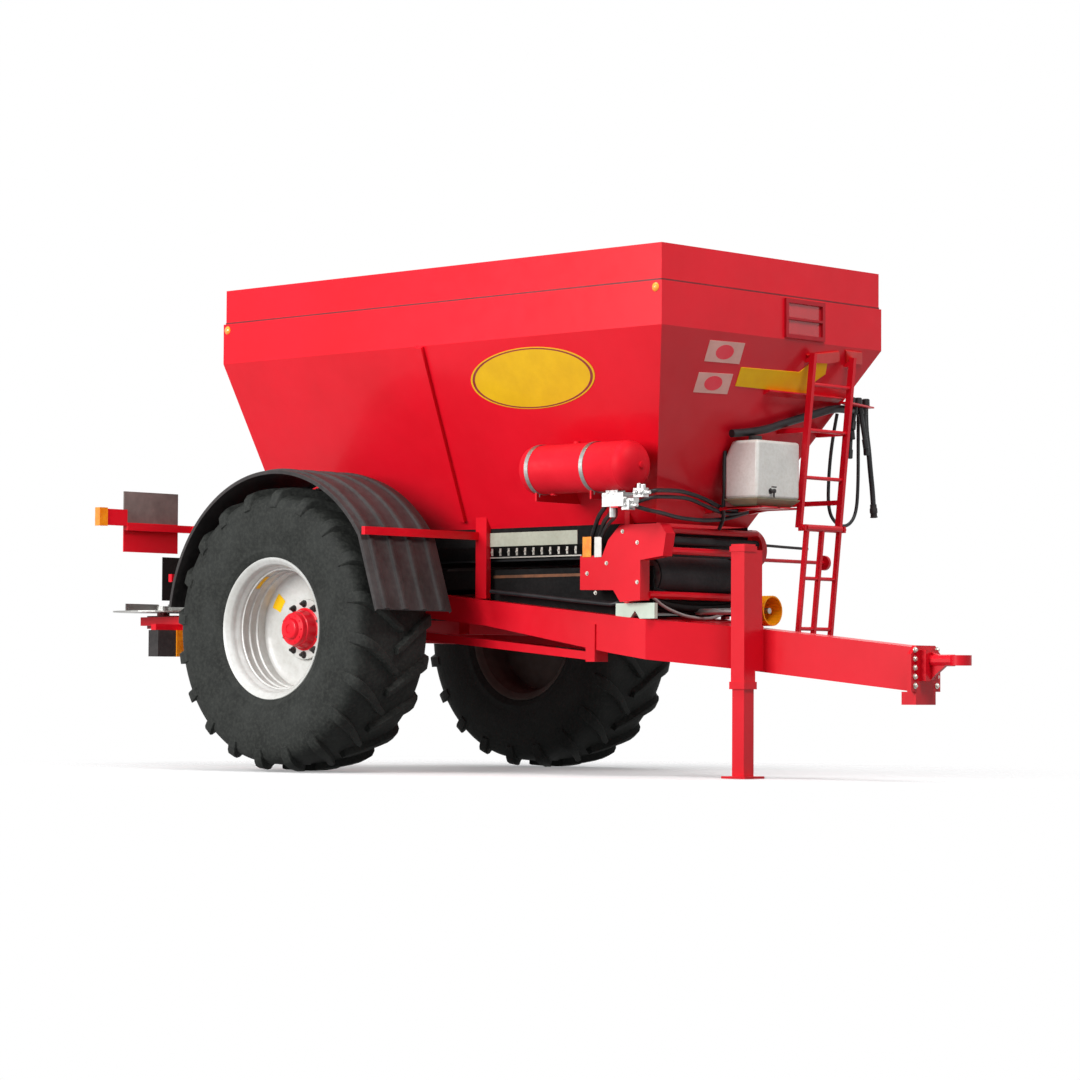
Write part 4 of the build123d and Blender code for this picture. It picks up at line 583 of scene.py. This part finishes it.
def make_guard(side, sign):
    """The ribbed shell over one wheel: a straight front and a round part."""
    section = guard_section()
    middle = sign * TRACK / 2
    rows = []
    for x, z in GUARD_FLAP:
        out = Vector((math.cos(math.radians(GUARD_START)), 0, math.sin(math.radians(GUARD_START))))
        rows.append([at(x, middle + y, z) + out * (h / 1000) for y, h in section])
    for step in range(GUARD_STEPS + 1):
        turn = math.radians(GUARD_START + (GUARD_END - GUARD_START) * step / GUARD_STEPS)
        out = Vector((math.cos(turn), 0, math.sin(turn)))
        rows.append([
            at(GUARD_MIDDLE_X, middle + y, GUARD_MIDDLE_Z) + out * ((GUARD_RADIUS + h) / 1000) for y, h in section
        ])
    guard = Shape()
    guard.grid(rows, close_v=True)
    guard.close_ends(rows)
    made = guard.make(f"mudguard_{side}_shell", BLACK, slot="black_plastic")
    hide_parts(f"mudguard_{side}")


for side, sign in (("left", 1), ("right", -1)):
    make_guard(side, sign)

# Air tank

TANK_MIDDLE = at(0, -840, 1866)
TANK_REAR = 1680
TANK_FRONT = 2610
TANK_TUBE_RADIUS = 150
TANK_DOME = 95
STRAP_SECTION = [(0, 150.5), (0, 153.5), (1, 154.5), (29, 154.5), (30, 153.5), (30, 150.5)]


def tank_end(tip, inward):
    """One domed end of the air tank, from its tip to the tube."""
    turns = [step * math.pi / 18 for step in range(10)]
    dome = TANK_DOME * inward
    return [(tip + dome * (1 - math.cos(t)), max(TIP, TANK_TUBE_RADIUS * math.sin(t))) for t in turns]


def tank_weld(x):
    """A low bead round the air tank."""
    return [(x + along, TANK_TUBE_RADIUS + lift) for along, lift in ((0, 0), (2, 1.5), (8, 1.5), (10, 0))]


tank = Shape()
profile = tank_end(TANK_REAR, 1) + tank_weld(1776) + tank_weld(2504) + tank_end(TANK_FRONT, -1)[::-1]
tank.lathe(TANK_MIDDLE, FORWARD, profile, 72)
for x, z, axis in ((2090, 150, UP), (1900, -148, DOWN), (2400, -148, DOWN)):
    tank.lathe(TANK_MIDDLE + Vector((x, 0, z)) / 1000, axis, [(-6, 22), (10, 22), (12, 18), (12, TIP)], 24)
tank.lathe(TANK_MIDDLE + Vector((2606, 0, 0)) / 1000, FORWARD, [(0, 20), (12, 20), (14, 16), (14, TIP)], 24)
made = tank.make("air_tank_drum", TANK_RED, slot="red_paint")
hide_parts("air_tank")

straps = Shape()
for x in (1790, 2240):
    straps.lathe(TANK_MIDDLE + Vector((x / 1000, 0, 0)), FORWARD, STRAP_SECTION, 72)
    straps.bolt(TANK_MIDDLE + Vector((x + 15, -30, -151)) / 1000, (0, -0.2, -1), 7, 18)
made = straps.make("tank_straps_bands", STEEL, slot="steel")
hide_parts("tank_straps")

# Water tank

WATER_REAR = 2600
WATER_FRONT = 2860
WATER_RIGHT = -65
WATER_LEFT = 345
WATER_FOOT = 1695
WATER_TOP = 2050
# The tank's side: x and z
WATER_SIDE = [
    (WATER_REAR, WATER_FOOT),
    (WATER_FRONT, WATER_FOOT),
    (WATER_FRONT, WATER_TOP),
    (2656, WATER_TOP),
    (WATER_REAR, 1950),
]
# The base's rings, from above: distance in from the tank's sides, z
BASE_RINGS = [(0, 1696), (1, 1690), (40, 1653), (45, 1650)]
BRACKET_SIDE = [(2430, 1649), (2850, 1649), (2850, 1636), (2620, 1636), (2420, 1612)]
TAP_X = 2888
TAP_Y = 60
TAP_Z = 1740
TAP_SECTION = [(0, 18), (6, 18), (6, 9), (26, 9), (26, 13), (40, 13), (42, 10), (42, TIP)]

water = Shape()
water.prism([at(x, WATER_RIGHT, z) for x, z in WATER_SIDE], Vector((0, (WATER_LEFT - WATER_RIGHT) / 1000, 0)))
made = water.make("water_tank_body", WHITE, slot="white_plastic", bevel=18)
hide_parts("water_tank")
# The water tank's slanted bottom, in tan as painted shade
base = Shape()
rings = []
for inset, z in BASE_RINGS:
    low = at(WATER_REAR + inset, WATER_RIGHT + inset, z)
    high = at(WATER_FRONT - inset, WATER_LEFT - inset, z)
    rings.append([low, Vector((high.x, low.y, low.z)), high, Vector((low.x, high.y, low.z))])
base.grid(rings, close_v=True)
# Its foot and its top
base.faces.append((12, 13, 14, 15))
base.faces.append((3, 2, 1, 0))
base.make("water_tank_base", TAN_SHADE, smooth=False)
holder = Shape()
for y in (-40, 140, 300):
    holder.prism([at(x, y, z) for x, z in BRACKET_SIDE], Vector((0, 0.03, 0)))
holder.box(at(2596, -40, 1640), at(2850, 330, 1649))
made = holder.make("water_bracket_tray", RED, slot="red_paint", bevel=1.5, smooth=False)
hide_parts("water_bracket")
cap = Shape()
cap.lathe(at(2740, 60, WATER_TOP), UP, [(-4, 52), (6, 52), (8, 46), (8, 42), (30, 41), (33, 38), (33, TIP)], 32)
cap.make("water_tank_cap", BLACK)
tap = Shape()
tap.lathe(at(2856, TAP_Y, TAP_Z), FORWARD, TAP_SECTION, 16)
tap.pipe([at(TAP_X, TAP_Y, TAP_Z), at(TAP_X, TAP_Y, TAP_Z - 28), at(TAP_X + 1, TAP_Y, TAP_Z - 40)], 6, 10)
handle = [(TAP_Y - 20, TAP_Z + 20), (TAP_Y + 20, TAP_Z + 20), (TAP_Y + 20, TAP_Z + 28), (TAP_Y - 20, TAP_Z + 28)]
tap.prism([at(TAP_X - 4, y, z) for y, z in handle], Vector((0.008, 0, 0)))
tap.make("water_tap", BLACK)

# Plates and signs

SLOPE_OUT = Vector((0.889, 0, -0.458))  # out of the hopper's front slope
SIDE_OUT = Vector((0, -0.877, -0.48))  # out of its right slope
BADGE_CENTRE = at(1783, -916, 2425)
BADGE_WIDE = Vector((0.5115, 0.0095, -0.0175))
BADGE_TALL = Vector((0.0905, -0.097, 0.1775))
# Signs: the corners' y and z
SIGNS = [
    ("sign_upper", [(-578, 2609), (-257, 2615), (-238, 2494), (-559, 2489)]),
    ("sign_lower", [(-566, 2424), (-257, 2434), (-242, 2317), (-551, 2309)]),
]
SIGN_OVAL = [(80 * math.cos(t * math.pi / 16), 42 * math.sin(t * math.pi / 16)) for t in range(32)]
# Outlines on the front slope: y and z
YELLOW_PLATE = [
    (-210, 2478), (340, 2487), (416, 2552), (570, 2557), (593, 2492), (524, 2445), (535, 2368), (-198, 2368),
]
BRACKET_PLATES = [
    [(339, 2594), (630, 2634), (677, 2577), (570, 2557), (416, 2552)],
    [(693, 2644), (854, 2644), (900, 2574), (748, 2576)],
]


def badge_ellipse(lift, share):
    """An ellipse on the hopper's side: lift in metres, share of the badge's size."""
    centre = BADGE_CENTRE + SIDE_OUT * lift
    turns = [2 * math.pi * i / 72 for i in range(72)]
    return [centre + BADGE_WIDE * (share * math.cos(t)) + BADGE_TALL * (share * math.sin(t)) for t in turns]


def on_slope(y, z, lift=0.0):
    """A point on the hopper's front slope, lifted off it by some millimetres."""
    return at(2369 + (z - 1545) * 0.5156, y, z) + SLOPE_OUT * (lift / 1000)


badge = Shape()
badge.prism(badge_ellipse(-0.004, 1.0), SIDE_OUT * 0.007)
badge.make("badge_plate", YELLOW, bevel=1.5, smooth=False)
rim_line = Shape()
rim_line.grid([badge_ellipse(0.0035, 0.97), badge_ellipse(0.0035, 0.93)], close_v=True)
rim_line.make("badge_line", DARK_RED, smooth=False)

for name, corners in SIGNS:
    backing = Shape()
    backing.prism([on_slope(y, z, -1) for y, z in corners], SLOPE_OUT * 0.003)
    backing.make(name, PALE, smooth=False)
    middle_y = sum(y for y, z in corners) / 4
    middle_z = sum(z for y, z in corners) / 4
    field = Shape()
    field.prism([on_slope(middle_y + y, middle_z + z, 2) for y, z in SIGN_OVAL], SLOPE_OUT * 0.0006)
    field.make(name + "_field", PINK, smooth=False)

step_plate = Shape()
step_plate.prism([on_slope(y, z, -1) for y, z in YELLOW_PLATE], SLOPE_OUT * 0.005)
step_plate.make("yellow_plate", BRIGHT_YELLOW, bevel=1.5, smooth=False)
brackets = Shape()
for outline in BRACKET_PLATES:
    brackets.prism([on_slope(y, z, -1) for y, z in outline], SLOPE_OUT * 0.012)
brackets.make("front_brackets", BRIGHT_RED, bevel=1.5, smooth=False)

# Painted shadow: a dark line along the joint below the hopper's extension, where its step throws shade, on its right,
# front and left sides

SHADOW_LINE_REAR = -890
SHADOW_LINE_FRONT = 2936
SHADOW_LINE_LOW = 2927
SHADOW_LINE_HIGH = 2937
shadow_line = Shape()
shadow_line.box(at(SHADOW_LINE_REAR, -1037, SHADOW_LINE_LOW), at(SHADOW_LINE_FRONT, -1033, SHADOW_LINE_HIGH))
shadow_line.box(at(2930, -1036, SHADOW_LINE_LOW), at(SHADOW_LINE_FRONT, 1036, SHADOW_LINE_HIGH))
shadow_line.box(at(SHADOW_LINE_REAR, 1033, SHADOW_LINE_LOW), at(SHADOW_LINE_FRONT, 1037, SHADOW_LINE_HIGH))
shadow_line.make("extension_shadow_line", SHADOW_LINE_PAINT, smooth=False)

# Small lamps and reflectors

SIDE_LAMP_SECTION = [(-2, TIP), (-2, 26), (4, 27), (8, 23), (14, 17), (17, TIP)]
LENS_INNER = 500
LENS_OUTER = 632
for name, x in (("side_lamp_front", 2899), ("side_lamp_rear", -860)):
    lamp = Shape()
    lamp.lathe(at(x, -1046, 2886), RIGHT, SIDE_LAMP_SECTION, 28)
    lamp.make(name, AMBER, slot="lens")

red_lens = Shape()
for low, high in ((LENS_INNER, LENS_OUTER), (-LENS_OUTER, -LENS_INNER)):
    red_lens.box(at(-1844, low, 742), at(-1716, high, 918))
red_lens.make("rear_red_lens", RED_LENS, bevel=4)

# Reflectors: name, material, x, lowest and highest z, width
REFLECTORS = [
    ("reflector_amber", AMBER, 1884, 1340, 1465, 72),
    ("reflector_white", WHITE, 1983, 1338, 1462, 58),
]
for name, material, x, low, high, wide in REFLECTORS:
    plate = Shape()
    plate.box(at(x, -566, low), at(x + wide, -560, high))
    plate.make(name, material, bevel=2)

# Belt side: a pale strip, a row of clamps under it, a rusty rail, the front roller and a rod

CLAMP_COUNT = 11
CLAMP_FIRST = 985
CLAMP_PITCH = 72
CLAMP_WIDTH = 16
ROLLER_SECTION = [(0, TIP), (0, 22), (3, 25), (937, 25), (940, 22), (940, TIP)]

strip = Shape()
strip.box(at(950, -442, 1430), at(1727, -436, 1517))
strip.make("side_strip", STRIP, bevel=1.5, smooth=False)
clamps = Shape()
for count in range(CLAMP_COUNT):
    x = CLAMP_FIRST + count * CLAMP_PITCH
    clamps.box(at(x, -441, 1372), at(x + CLAMP_WIDTH, -437, 1418))
    clamps.bolt(at(x + CLAMP_WIDTH / 2, -441, 1395), RIGHT, 6)
clamps.box(at(950, -440, 1356), at(1760, -437, 1364))
clamps.make("seal_clamps", ZINC, smooth=False)
rail = Shape()
rail.box(at(960, -398, 1232), at(1790, -395, 1250))
rail.make("side_rail", BROWN, smooth=False)
roller = Shape()
roller.lathe(at(2440, -470, 1437), LEFT, ROLLER_SECTION, 28)
roller.make("front_roller", RUBBER)
dark_rod = Shape()
dark_rod.pipe([at(2400, 480, 1440), at(2400, 760, 1434), at(2400, 985, 1430)], 9, 12)
dark_rod.lathe(at(2400, 985, 1430), LEFT, [(-30, 9), (-30, 14), (0, 14), (4, 10), (4, TIP)], 16)
dark_rod.make("side_rod", BLACK)

# Bolts

FLANGE_BOLTS = [(4080, side * 105, z) for side in (-1, 1) for z in (560, 612, 664, 716, 768)]
COVER_BOLTS = [
    (x, -560, z)
    for x, z in ((1990, 1120), (2080, 1300), (2210, 1490), (2330, 1420), (2330, 1180), (1920, 1240))
]
JACK_BOLTS = [(2920, -172, z) for z in (700, 760, 830, 900)]
STAY_BOLTS = [(2150 + x, -476, z) for x in (-12, 12) for z in (1180, 1260)]
# Bolts: piece, material, axis, radius, places
BOLTS = [
    ("flange_bolts", ZINC, FORWARD, 11, FLANGE_BOLTS),
    ("cover_bolts", ZINC, RIGHT, 8, COVER_BOLTS),
    ("jack_bolts", RED, RIGHT, 10, JACK_BOLTS),
    ("stay_bolts", ZINC, RIGHT, 8, STAY_BOLTS),
]
for name, material, axis, radius, places in BOLTS:
    bolts = Shape()
    for place in places:
        bolts.bolt(at(*place), axis, radius)
    bolts.make(name, material, smooth=False)

# Air valves below the tank

VALVE_Y = -835
VALVE_BLOCKS = [
    ((2350, -870, 1668), (2445, -800, 1738)),
    ((2470, -862, 1600), (2530, -806, 1660)),
    ((2560, -858, 1672), (2640, -808, 1728)),
]
VALVE_CAPS = [(2370, 1738, 30), (2420, 1738, 22), (2585, 1728, 26), (2620, 1728, 20)]  # x, z, height
VALVE_SCREWS = [(2375, -872, 1705), (2420, -872, 1700), (2500, -864, 1630), (2580, -864, 1700), (2620, -864, 1700)]
VALVE_UNIONS = [(2445, 1690, 40), (2530, 1628, 44), (2640, 1700, 34)]  # x, z, length

valves = Shape()
for low, high in VALVE_BLOCKS:
    valves.box(at(*low), at(*high))
for x, z, reach in VALVE_CAPS:
    valves.lathe(at(x, VALVE_Y, z), UP, [(0, 15), (reach, 15), (reach + 3, 11), (reach + 3, TIP)], 16)
for screw in VALVE_SCREWS:
    valves.bolt(at(*screw), RIGHT, 9)
for x, z, reach in VALVE_UNIONS:
    union = [(0, 17), (reach * 0.5, 17), (reach * 0.5, 12), (reach, 12), (reach, TIP)]
    valves.lathe(at(x, VALVE_Y, z), FORWARD, union, 12)
valves.make("air_valves", ALUMINIUM, bevel=2)

# Lines that are clipped to the machine: radius, corner radius, places
LINES = [
    # From the air valves along the hopper's front to its left side
    (13, 90, [
        (2640, -835, 1700), (2690, -800, 1712), (2620, -640, 1722), (2560, -420, 1730), (2540, -200, 1700),
        (2530, 0, 1640), (2530, 190, 1640), (2535, 330, 1668),
    ]),
    (13, 90, [
        (2530, -835, 1628), (2600, -780, 1600), (2560, -600, 1590), (2520, -400, 1570), (2510, -150, 1562),
        (2510, 60, 1580), (2520, 250, 1630),
    ]),
    (12, 80, [
        (2540, -790, 1650), (2600, -720, 1680), (2570, -540, 1690), (2545, -330, 1690), (2530, -120, 1640),
        (2525, 60, 1605), (2530, 240, 1642),
    ]),
    # From the air valves down behind the drive cover
    (14, 70, [
        (2350, -835, 1700), (2290, -790, 1690), (2200, -700, 1640), (2090, -640, 1590), (1990, -560, 1540),
        (1920, -520, 1460), (1890, -500, 1380), (1880, -480, 1280),
    ]),
    (14, 70, [
        (2370, -830, 1668), (2330, -790, 1630), (2230, -690, 1590), (2110, -620, 1550), (2020, -540, 1500),
        (1960, -510, 1430), (1930, -495, 1330), (1925, -480, 1260),
    ]),
    (12, 70, [
        (2400, -840, 1668), (2370, -800, 1600), (2280, -700, 1570), (2170, -640, 1540), (2080, -580, 1500),
        (2010, -540, 1440), (1975, -500, 1350),
    ]),
    # Behind the water tank
    (12, 90, [
        (2600, -60, 1990), (2596, -64, 1860), (2590, -52, 1740), (2560, -30, 1640), (2530, 10, 1580),
        (2470, 40, 1520),
    ]),
    # Along the right beam
    (13, 90, [
        (1020, -478, 1146), (1400, -480, 1112), (1760, -480, 1076), (2060, -486, 1050), (2100, -470, 1062),
        (2140, -430, 1070),
    ]),
    (13, 90, [(1020, -452, 1146), (1400, -454, 1112), (1760, -454, 1078), (2100, -446, 1052), (2200, -420, 1060)]),
]
# The bundle under the front drum: y and z of its places, then each line's lift, push along x and radius
BUNDLE_X = 2336
BUNDLE_PATH = [(-425, 1078), (-300, 1046), (-120, 1030), (100, 1030), (290, 1044), (425, 1078)]
BUNDLE_LINES = [(0, 0, 19), (34, -22, 17), (66, -6, 18), (-30, -26, 15)]
GREY_PATH = [
    (2350, -440, 1090), (2350, -336, 1034), (2352, -170, 985), (2352, 0, 968), (2350, 130, 975), (2350, 259, 1015),
    (2350, 360, 1075),
]

lines = Shape()
for radius, bend, places in LINES:
    lines.pipe(curve_points([at(*place) for place in places], bend, 7), radius, 12)
lines.make("hopper_lines", HOSE)
# The bundle under the front drum is near-black: its own black with painted shade for the shaded gap there
bundle = Shape()
for lift, push, radius in BUNDLE_LINES:
    bundle.pipe(curve_points([at(BUNDLE_X + push, y, z + lift) for y, z in BUNDLE_PATH], 120, 5), radius, 12)
bundle.make("front_lines", PIT)
grey_line = Shape()
grey_line.pipe(curve_points([at(*place) for place in GREY_PATH], 120, 8), 10, 12)
grey_line.make("front_line", GREY_HOSE)

# Hoses and the couplers that are parked beside them

HOSE_TOP = 2318.7  # just below the holder's plate
TAIL_END = (2728, 1250, 1690)
TAIL_ABOVE = (2735, 1232, 1790)
# Hoses, as in the part's own source: name, radius, places, length in metres and what is on the far end
HOSES = [
    ("trunk", 25, [
        (2695, -110, 2090), (2712, 130, 2112), (2745, 370, 2186), (2775, 560, 2238), (2808, 740, HOSE_TOP - 29),
        (2800, 885, HOSE_TOP - 25), (2745, 1040, HOSE_TOP - 25),
    ], 1.191, "object"),
    ("loop", 11, [
        (2766, 830, 2266), (2738, 818, 2110), (2714, 812, 1890), (2704, 816, 1660), (2705, 899, 1572),
        (2708, 1014, 1563), (2712, 1096, 1649), (2716, 1108, 1850), (2722, 1100, 2085), (2722, 1100, HOSE_TOP),
    ], 1.615, "object"),
    ("tail", 17, [
        (2735, 1160, HOSE_TOP), (2735, 1160, 2200), (2746, 1176, 2060), (2742, 1200, 1920), TAIL_ABOVE, TAIL_END,
    ], 0.638, "connector"),
]
# Parked couplers: x, y, length, lean to the left
PARKED = [
    (2760, 960, 210, 0.1),
    (2742, 1010, 330, -0.12),
    (2766, 1060, 260, 0.2),
    (2748, 1122, 300, 0.05),
    (2772, 1000, 150, -0.2),
]
COUPLER_SECTION = [
    (-24, 17.5), (-24, 21), (0, 22), (4, 25), (30, 25), (32, 21), (52, 21), (54, 24), (60, 24), (60, TIP),
]


def parked_section(reach):
    """A parked coupler of some length: a collar, the hose's end and the coupler's sleeve."""
    return [
        (0, TIP), (0, 21), (40, 21), (44, 15), (reach - 60, 14), (reach - 56, 19), (reach - 4, 19), (reach, 14),
        (reach, TIP),
    ]


def cord(name, radius, route):
    """A round hose along the same places as the part's own tube."""
    curve = bpy.data.curves.new(name, "CURVE")
    curve.dimensions = "3D"
    curve.bevel_depth = radius / 1000
    curve.bevel_resolution = 5
    curve.resolution_u = 10
    curve.use_fill_caps = True
    spline = curve.splines.new("NURBS")
    spline.points.add(len(route) - 1)
    for point, place in zip(spline.points, route):
        point.co = (*at(*place), 1)
    spline.order_u = 3
    spline.use_endpoint_u = True
    curve.materials.append(HOSE)
    made = bpy.data.objects.new(name, curve)
    bpy.context.scene.collection.objects.link(made)
    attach(made, "carriage")
    return made


parked = Shape()
for x, y, reach, lean in PARKED:
    parked.lathe(at(x, y, 2318), Vector((0.04, lean, -1)), parked_section(reach), 18)
for x, y in ((2745, 1000), (2752, 1060), (2735, 1160)):
    parked.lathe(at(x, y, 2329), UP, [(0, 26), (46, 25), (52, 20), (52, TIP)], 18)
parked.make("parked_couplers", HOSE)
coupler = Shape()
coupler.lathe(at(*TAIL_END), at(*TAIL_END) - at(*TAIL_ABOVE), COUPLER_SECTION, 24)
tail_piece = coupler.make("tail_coupler", BLACK)
for key, radius, route, length, far_end in HOSES:
    made = cord(f"hose_{key}_tube", radius, route)
    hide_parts(f"hose_{key}")
    at(*route[0])

# Floor and world

FLOOR_HALF = 14
FLOOR_DROP = 0.002  # how far it lies below z = 0
FLOOR_PALE = (0.9, 0.9, 0.9, 1)
FLOOR_DIM = (0.30, 0.30, 0.30, 1)
FADE_START = 1.6
FADE_END = 4.2
FADE_LEAST = 0.3
WORLD_COLOUR = (0.92, 0.95, 1.0, 1)
WORLD_STRENGTH = 0.28


def floor_material():
    """Pale to the camera, darker to the light that it throws back, and clear further out."""
    made = bpy.data.materials.new("floor_mat")
    made.use_nodes = True
    tree = made.node_tree
    link = tree.links.new
    shader = tree.nodes["Principled BSDF"]
    shader.inputs["Roughness"].default_value = 0.9
    shader.inputs["Specular IOR Level"].default_value = 0.1
    rays = tree.nodes.new("ShaderNodeLightPath")
    shade = tree.nodes.new("ShaderNodeMix")
    shade.data_type = "RGBA"
    shade.inputs[MIX_LOW].default_value = FLOOR_DIM
    shade.inputs[MIX_HIGH].default_value = FLOOR_PALE
    link(rays.outputs["Is Camera Ray"], shade.inputs["Factor"])
    link(shade.outputs[MIX_RESULT], shader.inputs["Base Color"])

    coordinates = tree.nodes.new("ShaderNodeTexCoord")
    distance = tree.nodes.new("ShaderNodeVectorMath")
    distance.operation = "LENGTH"
    fade = node(tree, "ShaderNodeMapRange", From_Min=FADE_START, From_Max=FADE_END, To_Min=FADE_LEAST)
    fade.interpolation_type = "SMOOTHSTEP"
    clear = tree.nodes.new("ShaderNodeBsdfTransparent")
    blend = tree.nodes.new("ShaderNodeMixShader")
    link(coordinates.outputs["Object"], distance.inputs[0])
    link(distance.outputs["Value"], fade.inputs["Value"])
    link(fade.outputs["Result"], blend.inputs[0])
    link(shader.outputs["BSDF"], blend.inputs[1])
    link(clear.outputs["BSDF"], blend.inputs[2])
    link(blend.outputs["Shader"], tree.nodes["Material Output"].inputs["Surface"])
    return made


def make_world():
    """A weak even light, seen as plain white by the camera, in reflections and through glass."""
    made = bpy.data.worlds.new("world")
    made.use_nodes = True
    tree = made.node_tree
    link = tree.links.new
    back = tree.nodes["Background"]
    back.inputs["Color"].default_value = WORLD_COLOUR
    back.inputs["Strength"].default_value = WORLD_STRENGTH
    white = node(tree, "ShaderNodeBackground", Color=(1, 1, 1, 1), Strength=1.0)
    rays = tree.nodes.new("ShaderNodeLightPath")
    seen = rays.outputs["Is Camera Ray"]
    for ray in ("Is Transmission Ray", "Is Glossy Ray"):
        either = tree.nodes.new("ShaderNodeMath")
        either.operation = "MAXIMUM"
        link(seen, either.inputs[0])
        link(rays.outputs[ray], either.inputs[1])
        seen = either.outputs["Value"]
    pick = tree.nodes.new("ShaderNodeMixShader")
    link(seen, pick.inputs[0])
    link(back.outputs["Background"], pick.inputs[1])
    link(white.outputs["Background"], pick.inputs[2])
    link(pick.outputs["Shader"], tree.nodes["World Output"].inputs["Surface"])
    return made


floor = bpy.data.meshes.new("floor")
corners = [(x * FLOOR_HALF, y * FLOOR_HALF, 0) for x, y in ((-1, -1), (1, -1), (1, 1), (-1, 1))]
floor.from_pydata(corners, [], [(0, 1, 2, 3)])
floor_piece = bpy.data.objects.new("floor", floor)
bpy.context.scene.collection.objects.link(floor_piece)
floor_piece.location = (0, 0, -FLOOR_DROP)
floor.materials.append(floor_material())
bpy.context.scene.world = make_world()

# Lights: place, aim, width, power
LIGHTS = [
    ("key", (-1.0, -10.0, 4.2), (0, 0, 1.6), 5.0, 1130),
    ("front", (7.0, -2.0, 8.6), (0.8, 0, 1.6), 3.0, 520),
    ("top", (0, 0, 9.0), (0, 0, 0), 7.0, 420),
    ("rear", (-8.0, 6.0, 6.0), (-1.0, 0, 1.4), 4.0, 240),
]
for name, spot, aim, width, power in LIGHTS:
    lamp = bpy.data.lights.new(name, "AREA")
    lamp.size = width
    lamp.energy = power
    made = bpy.data.objects.new(name, lamp)
    bpy.context.scene.collection.objects.link(made)
    made.location = spot
    made.rotation_mode = "QUATERNION"
    made.rotation_quaternion = (Vector(aim) - Vector(spot)).to_track_quat("-Z", "Y")

# Camera: solved from the photograph, with its place in the frame's metres and its angles in radians

PHOTO_WIDTH = 1080
FOCAL_PIXELS = 3445
SENSOR_WIDTH = 36
CAMERA_PLACE = (16.175 + AXLE, -16.133, 0.52)
CAMERA_TURN = 0.754
CAMERA_TILT = 0.042
CAMERA_ROLL = 0.005
CAMERA_SHIFT = (-0.00315, 0.00556)
lens = bpy.data.cameras.new("camera")
lens.sensor_width = SENSOR_WIDTH
lens.lens = FOCAL_PIXELS / PHOTO_WIDTH * SENSOR_WIDTH
lens.shift_x, lens.shift_y = CAMERA_SHIFT
lens.clip_end = 100
camera = bpy.data.objects.new("camera", lens)
bpy.context.scene.collection.objects.link(camera)
look = Vector((
    -math.sin(CAMERA_TURN) * math.cos(CAMERA_TILT),
    math.cos(CAMERA_TURN) * math.cos(CAMERA_TILT),
    math.sin(CAMERA_TILT),
))
right = Vector((math.cos(CAMERA_TURN), math.sin(CAMERA_TURN), 0))
up = right.cross(look)
rolled = right * math.cos(CAMERA_ROLL) + up * math.sin(CAMERA_ROLL)
upright = up * math.cos(CAMERA_ROLL) - right * math.sin(CAMERA_ROLL)
camera.matrix_world = Matrix((rolled, upright, -look)).transposed().to_4x4()
camera.location = CAMERA_PLACE
bpy.context.scene.camera = camera
bpy.context.scene.view_settings.view_transform = "Standard"
